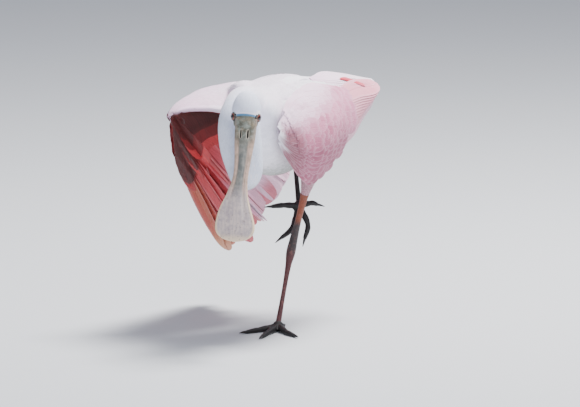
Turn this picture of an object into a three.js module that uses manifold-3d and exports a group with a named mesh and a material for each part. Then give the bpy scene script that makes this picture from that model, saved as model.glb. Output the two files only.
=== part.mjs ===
// A roseate spoonbill, life size, in millimetres. It stands on its left foot, leans forward and
// stretches its right wing and right leg back, with its bill hanging down in front of its folded neck.
// +Z is up, the bird looks along -Y, its left side is on +X, and the origin is on the floor
// under the ankle of the standing foot.
import * as THREE from "three";
import { mergeVertices } from "three/addons/utils/BufferGeometryUtils.js";
import Module from "manifold-3d";

const wasm = await Module();
wasm.setup();
const { Manifold, Mesh: SolidMesh } = wasm;

// Driving dimensions
const partGap = 0.3;
const bodyHalfLength = 118;
const bodyHeading = THREE.MathUtils.degToRad(29);
const bodyPitch = THREE.MathUtils.degToRad(5);
const billLength = 163;
const spoonHalfWidth = 26.2;
const eyeRadius = 6.5;
const vaneThickness = 0.6;
const vaneLayer = 0.95;
const primaryCount = 10;
const secondaryCount = 8;
const foldedPrimaryCount = 5;
const foldedSecondaryCount = 7;
const tailFeatherCount = 12;

const point = (x, y, z) => new THREE.Vector3(x, y, z);
const mix = (a, b, t) => a.clone().lerp(b, t);
const along = (start, direction, distance) => start.clone().addScaledVector(direction, distance);
const unit = (from, to) => to.clone().sub(from).normalize();

// The body's own frame: forward to the breast, left to the bird's left side, and up.
const bodyCentre = point(10, 2, 284);
const forward = point(
  -Math.sin(bodyHeading) * Math.cos(bodyPitch),
  -Math.cos(bodyHeading) * Math.cos(bodyPitch),
  -Math.sin(bodyPitch),
);
const left = point(Math.cos(bodyHeading), -Math.sin(bodyHeading), 0);
const up = forward.clone().cross(left);
const onBody = (ahead, toLeft, above) =>
  bodyCentre.clone().addScaledVector(forward, ahead).addScaledVector(left, toLeft).addScaledVector(up, above);

// Joints of the limbs
const ankleLeft = point(0, 0, 9);
const hockLeft = point(18, 38, 106.5);
const kneeLeft = onBody(-9, 38, -44);
const ankleRight = point(28, 85, 158);
const hockRight = point(19, 130, 250);
const kneeRight = onBody(28, -36, -38);
const shoulderRight = point(-42, -30, 327);
const elbowRight = point(-56, 62, 312);
const wristRight = point(-133, -30, 289);
const fingerRight = point(-134, 45, 230);

// Head and bill
const headCentre = point(-40.5, -176, 321);
const billRoot = point(-40.5, -190, 309);
const billDirection = point(-0.106, -0.321, -0.941).normalize();
const headForward = point(-0.07, -0.45, -0.89).normalize();
const headLeft = point(1, 0, 0).addScaledVector(headForward, -headForward.x).normalize();
const headUp = headForward.clone().cross(headLeft);

// A smooth curve through [place, size] stops, as a function of the place.
function sized(stops) {
  const slope = (i) => {
    const a = stops[Math.max(i - 1, 0)];
    const b = stops[Math.min(i + 1, stops.length - 1)];
    return (b[1] - a[1]) / (b[0] - a[0]);
  };
  return (t) => {
    let i = 0;
    while (i < stops.length - 2 && t > stops[i + 1][0]) i += 1;
    const [x0, y0] = stops[i];
    const [x1, y1] = stops[i + 1];
    const s = THREE.MathUtils.clamp((t - x0) / (x1 - x0), 0, 1);
    const span = x1 - x0;
    return (
      y0 * (1 + 2 * s) * (1 - s) ** 2 +
      slope(i) * span * s * (1 - s) ** 2 +
      y1 * s * s * (3 - 2 * s) +
      slope(i + 1) * span * s * s * (s - 1)
    );
  };
}

// A closed mesh as a solid with its faces pointing out.
function solidOf(geometry) {
  for (const name of Object.keys(geometry.attributes)) if (name !== "position") geometry.deleteAttribute(name);
  const merged = mergeVertices(geometry, 1e-4);
  const faces = new Uint32Array(merged.index.array);
  const clean = [];
  for (let i = 0; i < faces.length; i += 3) {
    const [a, b, c] = faces.subarray(i, i + 3);
    if (a !== b && b !== c && c !== a) clean.push(a, b, c);
  }
  const make = (triVerts) =>
    new Manifold(new SolidMesh({ numProp: 3, vertProperties: merged.attributes.position.array, triVerts }));
  const solid = make(new Uint32Array(clean));
  if (solid.volume() > 0) return solid;
  for (let i = 0; i < clean.length; i += 3) [clean[i + 1], clean[i + 2]] = [clean[i + 2], clean[i + 1]];
  return make(new Uint32Array(clean));
}

// Joins pieces and keeps the largest closed surface.
function fuse(pieces) {
  const joined = pieces.length > 1 ? Manifold.union(pieces) : pieces[0];
  return joined.decompose().sort((a, b) => b.volume() - a.volume())[0];
}

// A body swept along a spine. spine(t) gives the place and the sideways direction, and size(t) gives the
// half width and the half heights on the two faces. Flat ends come from a cylinder and closed ones from a sphere.
function swept(spine, size, around, steps, flatEnds = true) {
  const base = flatEnds
    ? new THREE.CylinderGeometry(1, 1, 1, around, steps)
    : new THREE.SphereGeometry(1, around, steps);
  const places = base.attributes.position;
  const v = new THREE.Vector3();
  const small = 1e-3;
  for (let i = 0; i < places.count; i += 1) {
    v.fromBufferAttribute(places, i);
    const polar = Math.acos(THREE.MathUtils.clamp(v.y, -1, 1));
    const t = flatEnds ? 0.5 - v.y : (1 - Math.cos(polar)) / 2;
    const reach = Math.hypot(v.x, v.z);
    const angle = reach > small ? Math.atan2(v.z, v.x) : 0;
    const radial = flatEnds ? reach : reach > small ? 1 : 0;
    const { at, side, tangent } = spine(t);
    const across = side.clone().addScaledVector(tangent, -side.dot(tangent)).normalize();
    const face = tangent.clone().cross(across);
    const { wide, above, below = above } = size(t);
    const height = Math.sin(angle) > 0 ? above : below;
    const place = at
      .clone()
      .addScaledVector(across, radial * wide * Math.cos(angle))
      .addScaledVector(face, radial * height * Math.sin(angle));
    places.setXYZ(i, place.x, place.y, place.z);
  }
  return solidOf(base);
}

// Full size along most of a limb and closing to a round end at both of its ends.
const roundEnds = (t) => Math.sqrt(Math.max(0, 1 - (2 * t - 1) ** 6));

// A spine along a smooth curve through points, between two shares of its length.
function curveSpine(points, side, from = 0, to = 1) {
  const curve = new THREE.CatmullRomCurve3(points);
  return (t) => {
    const s = from + (to - from) * t;
    return { at: curve.getPointAt(s), side, tangent: curve.getTangentAt(s) };
  };
}

// A feather's width at stations from its root to its tip, as [share of length, share of width].
const quillStations = [[0, 0.34], [0.32, 0.92], [0.66, 1], [0.88, 0.8], [0.97, 0.48], [1, 0.12]];
const covertStations = [[0, 0.5], [0.45, 1], [0.86, 0.78], [1, 0.2]];

// A feather: a thin plate with a ladder of stations, triangulated alike on both faces. place(x, t, z) says
// where the point at x across, t along and z through the plate goes.
function bentPlate(stations, cells, place) {
  const steps = stations.length - 1;
  const plate = new THREE.BoxGeometry(1, 1, 1, cells, steps, 1);
  const order = plate.index.array;
  const faceLength = cells * steps * 6;
  const front = order.length - 2 * faceLength;
  const back = order.length - faceLength;
  const columns = cells + 1;
  const firstVertex = plate.attributes.position.count - 2 * columns * (steps + 1);
  for (let i = 0; i < faceLength; i += 3) {
    const twins = Array.from(order.subarray(front + i, front + i + 3), (vertex) => {
      const column = (vertex - firstVertex) % columns;
      return vertex + columns * (steps + 1) + cells - 2 * column;
    });
    order.set(twins.reverse(), back + i);
  }
  const places = plate.attributes.position;
  for (let i = 0; i < places.count; i += 1) {
    const [t, share] = stations[Math.round((places.getY(i) + 0.5) * steps)];
    const at = place(places.getX(i) * share, t, places.getZ(i));
    places.setXYZ(i, at.x, at.y, at.z);
  }
  return solidOf(plate);
}

// A straight feather from root to tip with its outer face along face, bowed away from that face.
function vane({ root, tip, face, width, bow = 0, margin = 0, stations = quillStations }) {
  const sideways = unit(root, tip).cross(face).normalize();
  const outward = sideways.clone().cross(unit(root, tip));
  return bentPlate(stations, 1, (x, t, z) =>
    mix(root, tip, t)
      .addScaledVector(outward, 4 * bow * t * (1 - t) + z * (vaneThickness + 2 * margin))
      .addScaledVector(sideways, x * (width + 2 * margin)));
}

// A fan of feathers on the ruled sheet between a line of roots and a line of tips. Each feather is tipped so
// that it lies one layer from the next one, above it for a rise of 1 and under it for a rise of -1.
function fan({ count, root, tip, face, bow, width, rise, layer, margin }) {
  return Array.from({ length: count }, (_, i) => {
    const shaft = (k, t) => mix(root(k), tip(k), t).addScaledVector(face, 4 * bow * t * (1 - t));
    return bentPlate(quillStations, 1, (x, t, z) => {
      const tangent = unit(shaft(i, t - 0.01), shaft(i, t + 0.01));
      const across = shaft(i + 0.5, t).sub(shaft(i - 0.5, t));
      across.addScaledVector(tangent, -across.dot(tangent));
      const tilt = -rise * Math.min(0.4, layer / across.length());
      across.normalize();
      const normal = across.clone().cross(tangent);
      if (normal.dot(face) < 0) normal.negate();
      const offset = x * (width(i) + 2 * margin);
      return shaft(i, t)
        .addScaledVector(across, offset)
        .addScaledVector(normal, tilt * offset + z * (vaneThickness + 2 * margin));
    });
  });
}

// Pieces with their margins, joined as the cutter that makes room for them in a neighbour.
const cutter = (pieces) => Manifold.union(pieces);

// Colours of the bird
const finish = (color, roughness) => new THREE.MeshStandardMaterial({ color, roughness, metalness: 0 });
const white = finish(0xefe6ec, 0.8);
const pink = finish(0xe9b3bf, 0.75);
const rose = finish(0xd98c93, 0.7);
const grey = finish(0xa9a79b, 0.45);
const iris = finish(0xa8401c, 0.15);
const legRed = finish(0x7c4240, 0.5);
const legDark = finish(0x2b2526, 0.5);

const bird = new THREE.Group();
function addNode(name, solid, material) {
  const { numProp, vertProperties, triVerts, numVert } = solid.getMesh();
  const corners = new Float32Array(numVert * 3);
  for (let i = 0; i < numVert; i += 1) corners.set(vertProperties.subarray(i * numProp, i * numProp + 3), i * 3);
  const geometry = new THREE.BufferGeometry()
    .setAttribute("position", new THREE.BufferAttribute(corners, 3))
    .setIndex(new THREE.BufferAttribute(new Uint32Array(triVerts), 1));
  const mesh = new THREE.Mesh(geometry, material);
  mesh.name = name;
  bird.add(mesh);
}

// Torso: an egg from the rump to the breast, deepest at the breast, with margin added all round for a neighbour's cut.
const torsoWidth = sized([
  [0, 0], [0.04, 15], [0.12, 26], [0.25, 40], [0.4, 50], [0.55, 54], [0.7, 51], [0.85, 40], [0.94, 26], [1, 0],
]);
const torsoAbove = sized([
  [0, 0], [0.04, 11], [0.12, 20], [0.25, 36], [0.4, 52], [0.55, 59], [0.7, 59], [0.85, 47], [0.94, 30], [1, 0],
]);
const torsoBelow = sized([
  [0, 0], [0.04, 13], [0.12, 26], [0.25, 43], [0.4, 60], [0.55, 68], [0.7, 66], [0.85, 50], [0.94, 31], [1, 0],
]);
const torsoRise = sized([[0, 20], [0.3, 6], [0.6, 0], [1, -4]]);
function torso(margin = 0) {
  const reach = bodyHalfLength + margin;
  const spine = (t) => ({ at: onBody((2 * t - 1) * reach, 0, torsoRise(t)), side: left, tangent: forward });
  const grow = (t) => Math.min(1, 12 * Math.sqrt(t * (1 - t))) * margin;
  return swept(
    spine,
    (t) => ({ wide: torsoWidth(t) + grow(t), above: torsoAbove(t) + grow(t), below: torsoBelow(t) + grow(t) }),
    22,
    17,
    false,
  );
}

// The broad back between the shoulders
const mantle = (margin) =>
  swept(
    (t) => ({ at: onBody(10 + (2 * t - 1) * (78 + margin), -13, 38), side: left, tangent: forward }),
    (t) => {
      const share = 2 * Math.sqrt(Math.max(0, t * (1 - t)));
      return { wide: (41 + margin) * share, above: (21.5 + margin) * share };
    },
    12,
    8,
    false,
  );
const roundTorso = cutter([torso(partGap * 2), mantle(partGap * 2)]);
addNode("torso", fuse([torso(), mantle(0)]), white);

// Neck: a tight S that leaves the breast, drops in front of it and climbs again to the nape.
const neckPoints = [
  point(-30, -52, 296),
  point(-46, -92, 314),
  point(-59, -118, 296),
  point(-58.5, -121, 264),
  point(-51, -122, 239),
  point(-44, -134, 225),
  point(-37, -150, 235),
  point(-37, -154, 262),
  point(-38, -155, 290),
  point(-39.5, -158, 312),
  point(-40, -170, 325),
];
const neckGirth = sized([[0, 42], [0.06, 36], [0.13, 29], [0.25, 21.5], [0.4, 19], [0.55, 18.5], [0.8, 17.5], [1, 16]]);
const neckParts = [["neck_base", 0.02, 0.34], ["neck_bend", 0.34, 0.64], ["neck_upper", 0.64, 0.985]];

// Head: an egg from the nape to the face, flattened a little from side to side.
const headLength = 57;
const headShift = 3;
const headWidth = sized([[0, 0], [0.06, 9], [0.2, 15.5], [0.42, 19.3], [0.6, 19], [0.75, 17.2], [0.9, 14], [1, 0]]);
const headAbove = sized([[0, 0], [0.06, 9], [0.2, 14.5], [0.42, 17], [0.6, 16.6], [0.75, 14], [0.9, 10], [1, 0]]);
const headBelow = sized([[0, 0], [0.06, 9], [0.2, 14], [0.42, 16.5], [0.6, 17], [0.75, 16], [0.9, 11], [1, 0]]);
const onHead = (ahead, toLeft, above) =>
  headCentre.clone().addScaledVector(headForward, ahead).addScaledVector(headLeft, toLeft).addScaledVector(headUp, above);
function head(margin = 0) {
  const reach = headLength + 2 * margin;
  const spine = (t) => ({ at: onHead((t - 0.5) * reach + headShift, 0, 0), side: headLeft, tangent: headForward });
  const grow = (t) => Math.min(1, 10 * Math.sqrt(t * (1 - t))) * margin;
  return swept(
    spine,
    (t) => ({ wide: headWidth(t) + grow(t), above: headAbove(t) + grow(t), below: headBelow(t) + grow(t) }),
    18,
    14,
    false,
  );
}
const roundHead = head(partGap * 2);
function neckPart(index, margin = 0) {
  const [, from, to] = neckParts[index];
  const trim = partGap / 2 / 300;
  const spine = curveSpine(neckPoints, point(1, 0, 0), from + trim, to - trim);
  const girth = (t) => neckGirth(from + (to - from) * t) + margin;
  return swept(spine, (t) => ({ wide: girth(t), above: girth(t) }), 16, 8);
}
const roundNeck = cutter([neckPart(0, 2 * partGap), neckPart(1, 2 * partGap)]);
addNode("neck_base", fuse([neckPart(0).subtract(roundTorso)]), white);
addNode("neck_bend", fuse([neckPart(1).subtract(neckPart(2, partGap)).subtract(neckPart(0, partGap))]), white);
addNode("neck_upper", fuse([neckPart(2).subtract(roundHead)]), white);

// Bill: two flat mandibles, narrow in the middle and spread into a spoon at the tip.
const billWidth = sized([
  [0, 14.5], [0.165, 13.6], [0.3, 11.4], [0.42, 10], [0.5, 10.4], [0.62, 14.3], [0.7, 18.8], [0.785, 23.4],
  [0.88, spoonHalfWidth], [0.94, 23.4], [0.978, 16.2], [0.993, 9], [1, 1.5],
]);
const billDrift = sized([[0, 0], [0.4, 0.5], [0.7, -2.2], [0.87, 0], [1, 1]]);
const billSag = sized([[0, 0], [0.5, -2.5], [1, 0]]);
const billLeft = point(0.99, -0.14, 0).addScaledVector(billDirection, -point(0.99, -0.14, 0).dot(billDirection)).normalize();
const billUp = billDirection.clone().cross(billLeft);
const onBill = (s, toLeft, above) =>
  along(billRoot, billDirection, s * billLength).addScaledVector(billLeft, billDrift(s) + toLeft).addScaledVector(billUp, billSag(s) + above);
const billSpine = (t) => ({ at: onBill(t, 0, 0), side: billLeft, tangent: billDirection });
const upperDepth = sized([[0, 11], [0.15, 8.5], [0.4, 5.2], [0.7, 3.4], [0.95, 3], [1, 2]]);
const lowerDepth = sized([[0, 9], [0.15, 7], [0.4, 4.4], [0.7, 3], [0.95, 2.4], [1, 1.6]]);
const mouthGap = 0.25;
const nostrilPlace = 0.13;
const nostrilLength = 10.5;
const bunch = (t) => t + 0.12 * Math.sin(Math.PI * t) * t;
let upperBill = swept(
  (t) => ({ ...billSpine(bunch(t)), at: onBill(bunch(t), 0, mouthGap + 0.6) }),
  (t) => ({ wide: billWidth(bunch(t)), above: upperDepth(bunch(t)), below: 0.6 }),
  14,
  17,
);
let lowerBill = swept(
  (t) => ({ ...billSpine(bunch(t) * 0.985), at: onBill(bunch(t) * 0.985, 0, -mouthGap - 0.6) }),
  (t) => ({ wide: billWidth(bunch(t)) * 0.95, above: 0.6, below: lowerDepth(bunch(t)) }),
  14,
  16,
);
upperBill = upperBill.subtract(roundHead);
for (const sign of [-1, 1]) {
  const slit = (t) => ({ ...billSpine(0), at: onBill(nostrilPlace + (t - 0.5) * nostrilLength / billLength, sign * 4.7, 9.4) });
  upperBill = upperBill.subtract(swept(slit, (t) => ({ wide: 0.9 * roundEnds(t), above: 1.8 * roundEnds(t) }), 6, 5, false));
}
lowerBill = lowerBill.subtract(roundHead);
addNode("bill_upper", fuse([upperBill]), grey);
addNode("bill_lower", fuse([lowerBill]), grey);

// Eyes sit in round sockets at the sides of the face, each with a raised ring of lids about it.
const lidRadius = 4.9;
const lidThickness = 1.15;
const ball = (centre, radius, around = 12, steps = 7) =>
  solidOf(new THREE.SphereGeometry(radius, around, steps).translate(centre.x, centre.y, centre.z));
let headSolid = head();
for (const [name, sign] of [["eye_right", -1], ["eye_left", 1]]) {
  const eyeCentre = onHead(13, sign * 13.2, 4);
  const gaze = headLeft.clone().multiplyScalar(sign).addScaledVector(headForward, 0.2).normalize();
  const facing = new THREE.Matrix4().makeRotationFromQuaternion(
    new THREE.Quaternion().setFromUnitVectors(point(0, 0, 1), gaze),
  ).setPosition(along(eyeCentre, gaze, 5.1));
  const lids = solidOf(new THREE.TorusGeometry(lidRadius, lidThickness, 4, 9).applyMatrix4(facing));
  headSolid = fuse([headSolid, lids]).subtract(ball(eyeCentre, eyeRadius + partGap, 10, 7));
  addNode(name, ball(eyeCentre, eyeRadius, 10, 7), iris);
}
addNode("head", fuse([headSolid]), white);

// Legs: a feathered thigh, a bare shin, a swollen hock and a thin tarsus along one bent line.
const legParts = [["thigh", 0, 0.27], ["shin", 0.27, 0.53], ["tarsus", 0.53, 1]];
const legGirth = sized([
  [0, 17], [0.1, 14], [0.2, 8.5], [0.27, 5.6], [0.4, 4.3], [0.53, 5.6], [0.6, 6.4], [0.67, 4.2], [0.8, 3.1], [1, 3.8],
]);
const roundLegs = new Map();
function leg(side, knee, hock, ankle, material) {
  const bend = 0.12;
  const points = [
    knee,
    mix(knee, hock, 0.5),
    mix(hock, knee, bend),
    mix(hock, ankle, bend),
    mix(hock, ankle, 0.55),
    ankle,
  ];
  for (const [name, from, to] of legParts) {
    const trim = partGap / 500;
    const spine = curveSpine(points, point(1, 0, 0), from + trim, to - trim);
    const girth = (t) => legGirth(from + (to - from) * t);
    const limbPart = (margin) => swept(spine, (t) => ({ wide: girth(t) + margin, above: girth(t) + margin }), 12, 8);
    let piece = limbPart(0);
    if (name === "thigh") piece = piece.subtract(roundTorso);
    addNode(`${name}_${side}`, fuse([piece]), material[name]);
    roundLegs.set(`${name}_${side}`, limbPart(2 * partGap));
  }
}
leg("left", kneeLeft, hockLeft, ankleLeft, { thigh: white, shin: legRed, tarsus: legRed });
leg("right", kneeRight, hockRight, ankleRight, { thigh: white, shin: legRed, tarsus: legDark });

// Feet: a pad, four toes with small webs between the front ones, and a claw at the end of each toe.
const toeGirth = sized([[0, 5], [0.3, 4], [0.36, 4.4], [0.6, 3.4], [0.66, 3.8], [1, 2.5]]);
const clawLength = 11;
const clawRadius = 2.2;
function foot(side, pad, toes, padFace, floorLevel) {
  const pieces = [ball(pad, 7.5, 8, 5)];
  const lines = toes.map(({ tip, via }) => {
    const end = along(tip, unit(tip, via), clawLength);
    return new THREE.CatmullRomCurve3([pad, via, end]);
  });
  const floor = solidOf(new THREE.BoxGeometry(400, 400, 40).translate(0, 0, floorLevel - 20));
  toes.forEach(({ name, tip }, i) => {
    const line = lines[i];
    const spine = (t) => ({ at: line.getPointAt(t), side: line.getTangentAt(t).cross(padFace), tangent: line.getTangentAt(t) });
    pieces.push(swept(spine, (t) => ({ wide: toeGirth(t), above: toeGirth(t) }), 6, 6));
    const end = line.getPointAt(1);
    const start = along(end, unit(end, tip), 2 * partGap);
    const nail = new THREE.QuadraticBezierCurve3(start, mix(start, tip, 0.5).addScaledVector(padFace, 1.2), tip);
    const nailSpine = (t) => ({ at: nail.getPointAt(t), side: unit(start, tip).cross(padFace), tangent: nail.getTangentAt(t) });
    const claw = swept(nailSpine, (t) => ({ wide: clawRadius * (1 - 0.82 * t), above: clawRadius * (1 - 0.82 * t) }), 6, 3);
    addNode(`claw_${side}_${name}`, fuse([claw.subtract(floor)]), legDark);
  });
  for (const [a, b] of [[0, 1], [1, 2]]) {
    const reach = 0.38;
    const rim = [lines[a].getPointAt(0.05), lines[a].getPointAt(reach), lines[b].getPointAt(reach), lines[b].getPointAt(0.05)];
    const cup = mix(rim[1], rim[2], 0.5).lerp(pad, 0.3);
    pieces.push(slab([rim[0], rim[1], cup, rim[2], rim[3]], padFace, 1.4));
  }
  return fuse([fuse(pieces).subtract(floor).subtract(roundLegs.get(`tarsus_${side}`))]);
}

// A flat plate of a given thickness through a ring of points, centred on them.
function slab(ring, face, thick) {
  const sheet = new THREE.ExtrudeGeometry(
    new THREE.Shape(ring.map((p, i) => new THREE.Vector2(Math.cos(-i), Math.sin(-i)))),
    { depth: 1, bevelEnabled: false },
  );
  const places = sheet.attributes.position;
  for (let i = 0; i < places.count; i += 1) {
    const angle = Math.atan2(places.getY(i), places.getX(i));
    const index = ring.findIndex((_, k) => Math.abs(Math.cos(-k) - Math.cos(angle)) + Math.abs(Math.sin(-k) - Math.sin(angle)) < 1e-3);
    const p = along(ring[index], face, (places.getZ(i) - 0.5) * thick);
    places.setXYZ(i, p.x, p.y, p.z);
  }
  return solidOf(sheet);
}
const toeHeight = 3.4;
const floorToe = (name, x, y, bendX, bendY) => ({
  name,
  tip: point(x, y, 1.9),
  via: point(bendX, bendY, toeHeight),
});
addNode("foot_left", foot("left", point(0, -1, 6.5), [
  floorToe("inner", -52, -34, -28, -17),
  floorToe("middle", -25, -79, -14, -40),
  floorToe("outer", 27, -68, 12, -36),
  floorToe("back", 10, 38, 6, 20),
], point(0, 0, 1), 0), legDark);

// Tail: twelve feathers that fan out of the rump, the middle pair on top and the outer ones lower.
const onTail = (s, ahead, drop) => onBody(ahead, 26 * s * ((-122 - ahead) / 89 * 0.62 + 0.38), drop);
const tailCore = swept(
  (t) => ({ at: onBody(-96 - 38 * t, 0, 19 - 4 * t), side: left, tangent: forward.clone().negate() }),
  (t) => ({ wide: 12 + 2 * t, above: 6 - 2.6 * t }),
  12,
  4,
);
const tailPieces = (margin) => Array.from({ length: tailFeatherCount }, (_, i) => {
  const s = (2 * i) / (tailFeatherCount - 1) - 1;
  const rank = Math.abs(2 * i - tailFeatherCount + 1) - (s > 0 ? 1 : 0);
  const lift = 4.5 - vaneLayer * rank;
  return vane({
    root: onTail(s, -108, 17 + lift),
    tip: onTail(s, -213 + 14 * s * s, 3 + lift),
    face: up,
    width: 21,
    bow: 2,
    margin,
  });
});
addNode("tail", fuse([fuse([tailCore, ...tailPieces(0)]).subtract(roundTorso)]), pink);

addNode("foot_right", foot("right", point(28, 84, 157), [
  { name: "inner", tip: point(33, 62, 104), via: point(40, 74, 132) },
  { name: "middle", tip: point(-4, 50, 111), via: point(18, 66, 128) },
  { name: "outer", tip: point(-19, 53, 159), via: point(6, 66, 160) },
  { name: "back", tip: point(63, 95, 154), via: point(46, 88, 160) },
], point(0, -0.8, 0.6).normalize(), -100), legDark);

// Left wing, folded loosely: a smooth sheet around the flank carries every feather of the wing.
// Each row gives a place along the body and how far left and up the sheet runs there.
const rowCurve = (rows) => {
  const toLeft = sized(rows.map(([a, b]) => [a, b]));
  const above = sized(rows.map(([a, , c]) => [a, c]));
  return (a) => [toLeft(a), above(a)];
};
const sheetBottom = rowCurve([
  [-215, 19, -15], [-175, 24, -25], [-120, 35, -42], [-60, 45, -51], [-10, 51, -56],
  [20, 53, -61], [50, 53, -62], [70, 54, -48], [85, 51, -29], [93, 47, -15], [100, 41, 2],
]);
const sheetMiddle = rowCurve([
  [-215, 22, -4], [-175, 28, -2], [-120, 36, 3], [-60, 48, 2], [-10, 55, 2],
  [20, 57, 0], [50, 56, -3], [70, 54, -4], [85, 50, -5], [93, 46, -1], [100, 40, 6],
]);
const sheetTop = rowCurve([
  [-215, 10, -1], [-175, 10, 10], [-120, 11, 25], [-60, 13, 38], [-10, 15, 48],
  [20, 16, 49], [50, 20, 43], [70, 26, 35], [85, 31, 26], [93, 34, 19], [100, 38, 10],
]);
function onSheet(a, q, lift = 0) {
  const place = (ahead, share) => {
    const [b0, c0] = sheetBottom(ahead);
    const [b1, c1] = sheetMiddle(ahead);
    const [b2, c2] = sheetTop(ahead);
    const w0 = (1 - share) * (1 - 2 * share);
    const w1 = 4 * share * (1 - share);
    const w2 = share * (2 * share - 1);
    return onBody(ahead, w0 * b0 + w1 * b1 + w2 * b2, w0 * c0 + w1 * c1 + w2 * c2);
  };
  const at = place(a, q);
  const backward = place(a - 1, q).sub(at);
  const upward = place(a, q + 0.01).sub(at);
  const normal = backward.cross(upward).normalize();
  return { at: at.addScaledVector(normal, lift), normal };
}

// A feather laid on the sheet from one [ahead, share, lift] to another, bent round it. Its lower edge is
// raised by the tilt.
function laidVane({ from, to, width, tilt = 0.1, margin = 0, stations = covertStations }) {
  const small = 0.01;
  return bentPlate(stations, 2, (x, t, z) => {
    const [a, q, lift] = lerp3(from, to, t);
    const { at, normal } = onSheet(a, q);
    const perAhead = onSheet(a + small, q).at.sub(at).divideScalar(small);
    const perShare = onSheet(a, q + small).at.sub(at).divideScalar(small);
    const tangent = perAhead.clone().multiplyScalar(to[0] - from[0]).addScaledVector(perShare, to[1] - from[1]);
    const offset = x * (width + 2 * margin);
    const across = tangent.normalize().cross(normal).multiplyScalar(offset);
    const [aa, as, ss] = [perAhead.lengthSq(), perAhead.dot(perShare), perShare.lengthSq()];
    const [ca, cs] = [across.dot(perAhead), across.dot(perShare)];
    const whole = aa * ss - as * as;
    const moved = [a + (ca * ss - cs * as) / whole, q + (cs * aa - ca * as) / whole];
    return onSheet(...moved, lift + tilt * offset + z * (vaneThickness + 2 * margin)).at;
  });
}
// A place in a list of points by its fractional index, running on past both ends.
function extended(list, k) {
  const i = THREE.MathUtils.clamp(Math.floor(k), 0, list.length - 2);
  return mix(list[i], list[i + 1], k - i);
}
const lerp3 = (a, b, s) => a.map((x, k) => x + (b[k] - x) * s);
function laidRow(count, first, last, travel, width, margin) {
  return Array.from({ length: count }, (_, i) => {
    const from = lerp3(first, last, i / (count - 1));
    return laidVane({ from, to: from.map((x, k) => x + travel[k]), width, margin });
  });
}
function laidLimb(from, to, wide, thick, margin) {
  const reach = (3 * margin) / Math.abs(to[0] - from[0]);
  const spine = (share) => {
    const t = (1 + 2 * reach) * share - reach;
    const { at, normal } = onSheet(...lerp3(from, to, t));
    const tangent = unit(at, onSheet(...lerp3(from, to, t + 0.01)).at);
    return { at, tangent, side: tangent.clone().cross(normal) };
  };
  return swept(
    spine,
    (t) => ({ wide: (wide + margin) * roundEnds(t), above: (thick + margin) * roundEnds(t) }),
    10,
    7,
    false,
  );
}
function scales(rows, columns, travel, width, margin) {
  return rows.flatMap(([ahead, drop, lift]) => columns.map((share) => {
    const from = [ahead, share + drop, lift];
    return laidVane({ from, to: from.map((x, k) => x + travel[k]), width, margin });
  }));
}
const leftHand = (margin) => [
  laidLimb([94, 0.42, 4], [50, 0.06, 4], 11, 3.4, margin),
  ...Array.from({ length: foldedPrimaryCount }, (_, i) => {
    const s = i / (foldedPrimaryCount - 1);
    const lift = 5 - vaneLayer * i;
    return laidVane({
      from: lerp3([80, 0.34, lift], [50, 0.07, lift], s),
      to: [-150 - 45 * Math.sin(Math.PI * (0.1 + s * 0.62)), 0.46 - 0.42 * s, lift],
      width: 25,
      tilt: 0.04,
      margin,
      stations: quillStations,
    });
  }),
  ...laidRow(4, [80, 0.33, 5.6], [54, 0.09, 5.6], [-66, -0.02, 4], 23, margin),
];
const leftForearm = (margin) => [
  laidLimb([92, 0.62, 8.8], [-42, 0.66, 8.8], 28, 4.2, margin),
  ...Array.from({ length: foldedSecondaryCount }, (_, i) => {
    const s = i / (foldedSecondaryCount - 1);
    const lift = 7 + 0.9 * i;
    return laidVane({
      from: lerp3([60, 0.54, lift], [-24, 0.66, lift], s),
      to: lerp3([-128, 0.24, lift + 0.4], [-203, 0.66, lift + 1.4], s),
      width: 29,
      tilt: 0.13,
      margin,
      stations: quillStations,
    });
  }),
  ...scales([[72, 0, 10.6], [8, 0.02, 10.6]], [0.47, 0.6, 0.73], [-82, -0.07, 4.6], 27, margin),
];
const leftArm = (margin) => [
  laidLimb([58, 0.93, 8.4], [-46, 0.93, 8.4], 12, 5, margin),
  ...Array.from({ length: 4 }, (_, i) => laidVane({
    from: [-30, 0.88 + 0.03 * i, 10.4 + 0.9 * i],
    to: [-204 - 3 * i, 0.8 + 0.065 * i, 14 + 0.9 * i],
    width: 27,
    tilt: 0.04,
    margin,
    stations: quillStations,
  })),
  ...scales([[48, 0, 9.2], [-4, 0, 9.2]], [0.87, 0.99], [-80, -0.02, 5.4], 27, margin),
];

// Right wing, half opened: a roof of arm and skin from the shoulder to the wrist, and one fan of feathers
// that trails back from it and hangs in towards the belly.
const rightHandFace = point(0.04, 0.63, 0.776);
const roofLine = [
  point(-14, 14, 302), point(-46, 13, 310), point(-76, 9, 309), point(-104, -2, 307), point(-131, -16, 300),
  point(-147, -27, 288),
];
const roofWidth = sized([[0, 44], [0.2, 54], [0.44, 49], [0.66, 36], [0.85, 21], [0.95, 11], [1, 0.5]]);
const roofAbove = sized([[0, 20], [0.2, 17], [0.44, 12], [0.66, 8.6], [0.85, 7], [0.95, 5.5], [1, 0.5]]);
const roofBelow = sized([[0, 14], [0.44, 12], [0.66, 9], [0.85, 7], [0.95, 5], [1, 0.5]]);
const roofTilt = sized([[0, -0.24], [0.44, -0.24], [0.66, -0.16], [1, -0.08]]);
function roof(margin) {
  const grow = (t) => margin * Math.min(1, 8 * Math.sqrt(1 - t) + 0.3);
  const size = (t) => ({ wide: roofWidth(t) + grow(t), above: roofAbove(t) + grow(t), below: roofBelow(t) + grow(t) });
  const line = curveSpine(roofLine, point(0, 0, 0));
  return swept((t) => ({ ...line(t), side: point(0.1, -0.96, roofTilt(t)) }), size, 12, 7);
}
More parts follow.
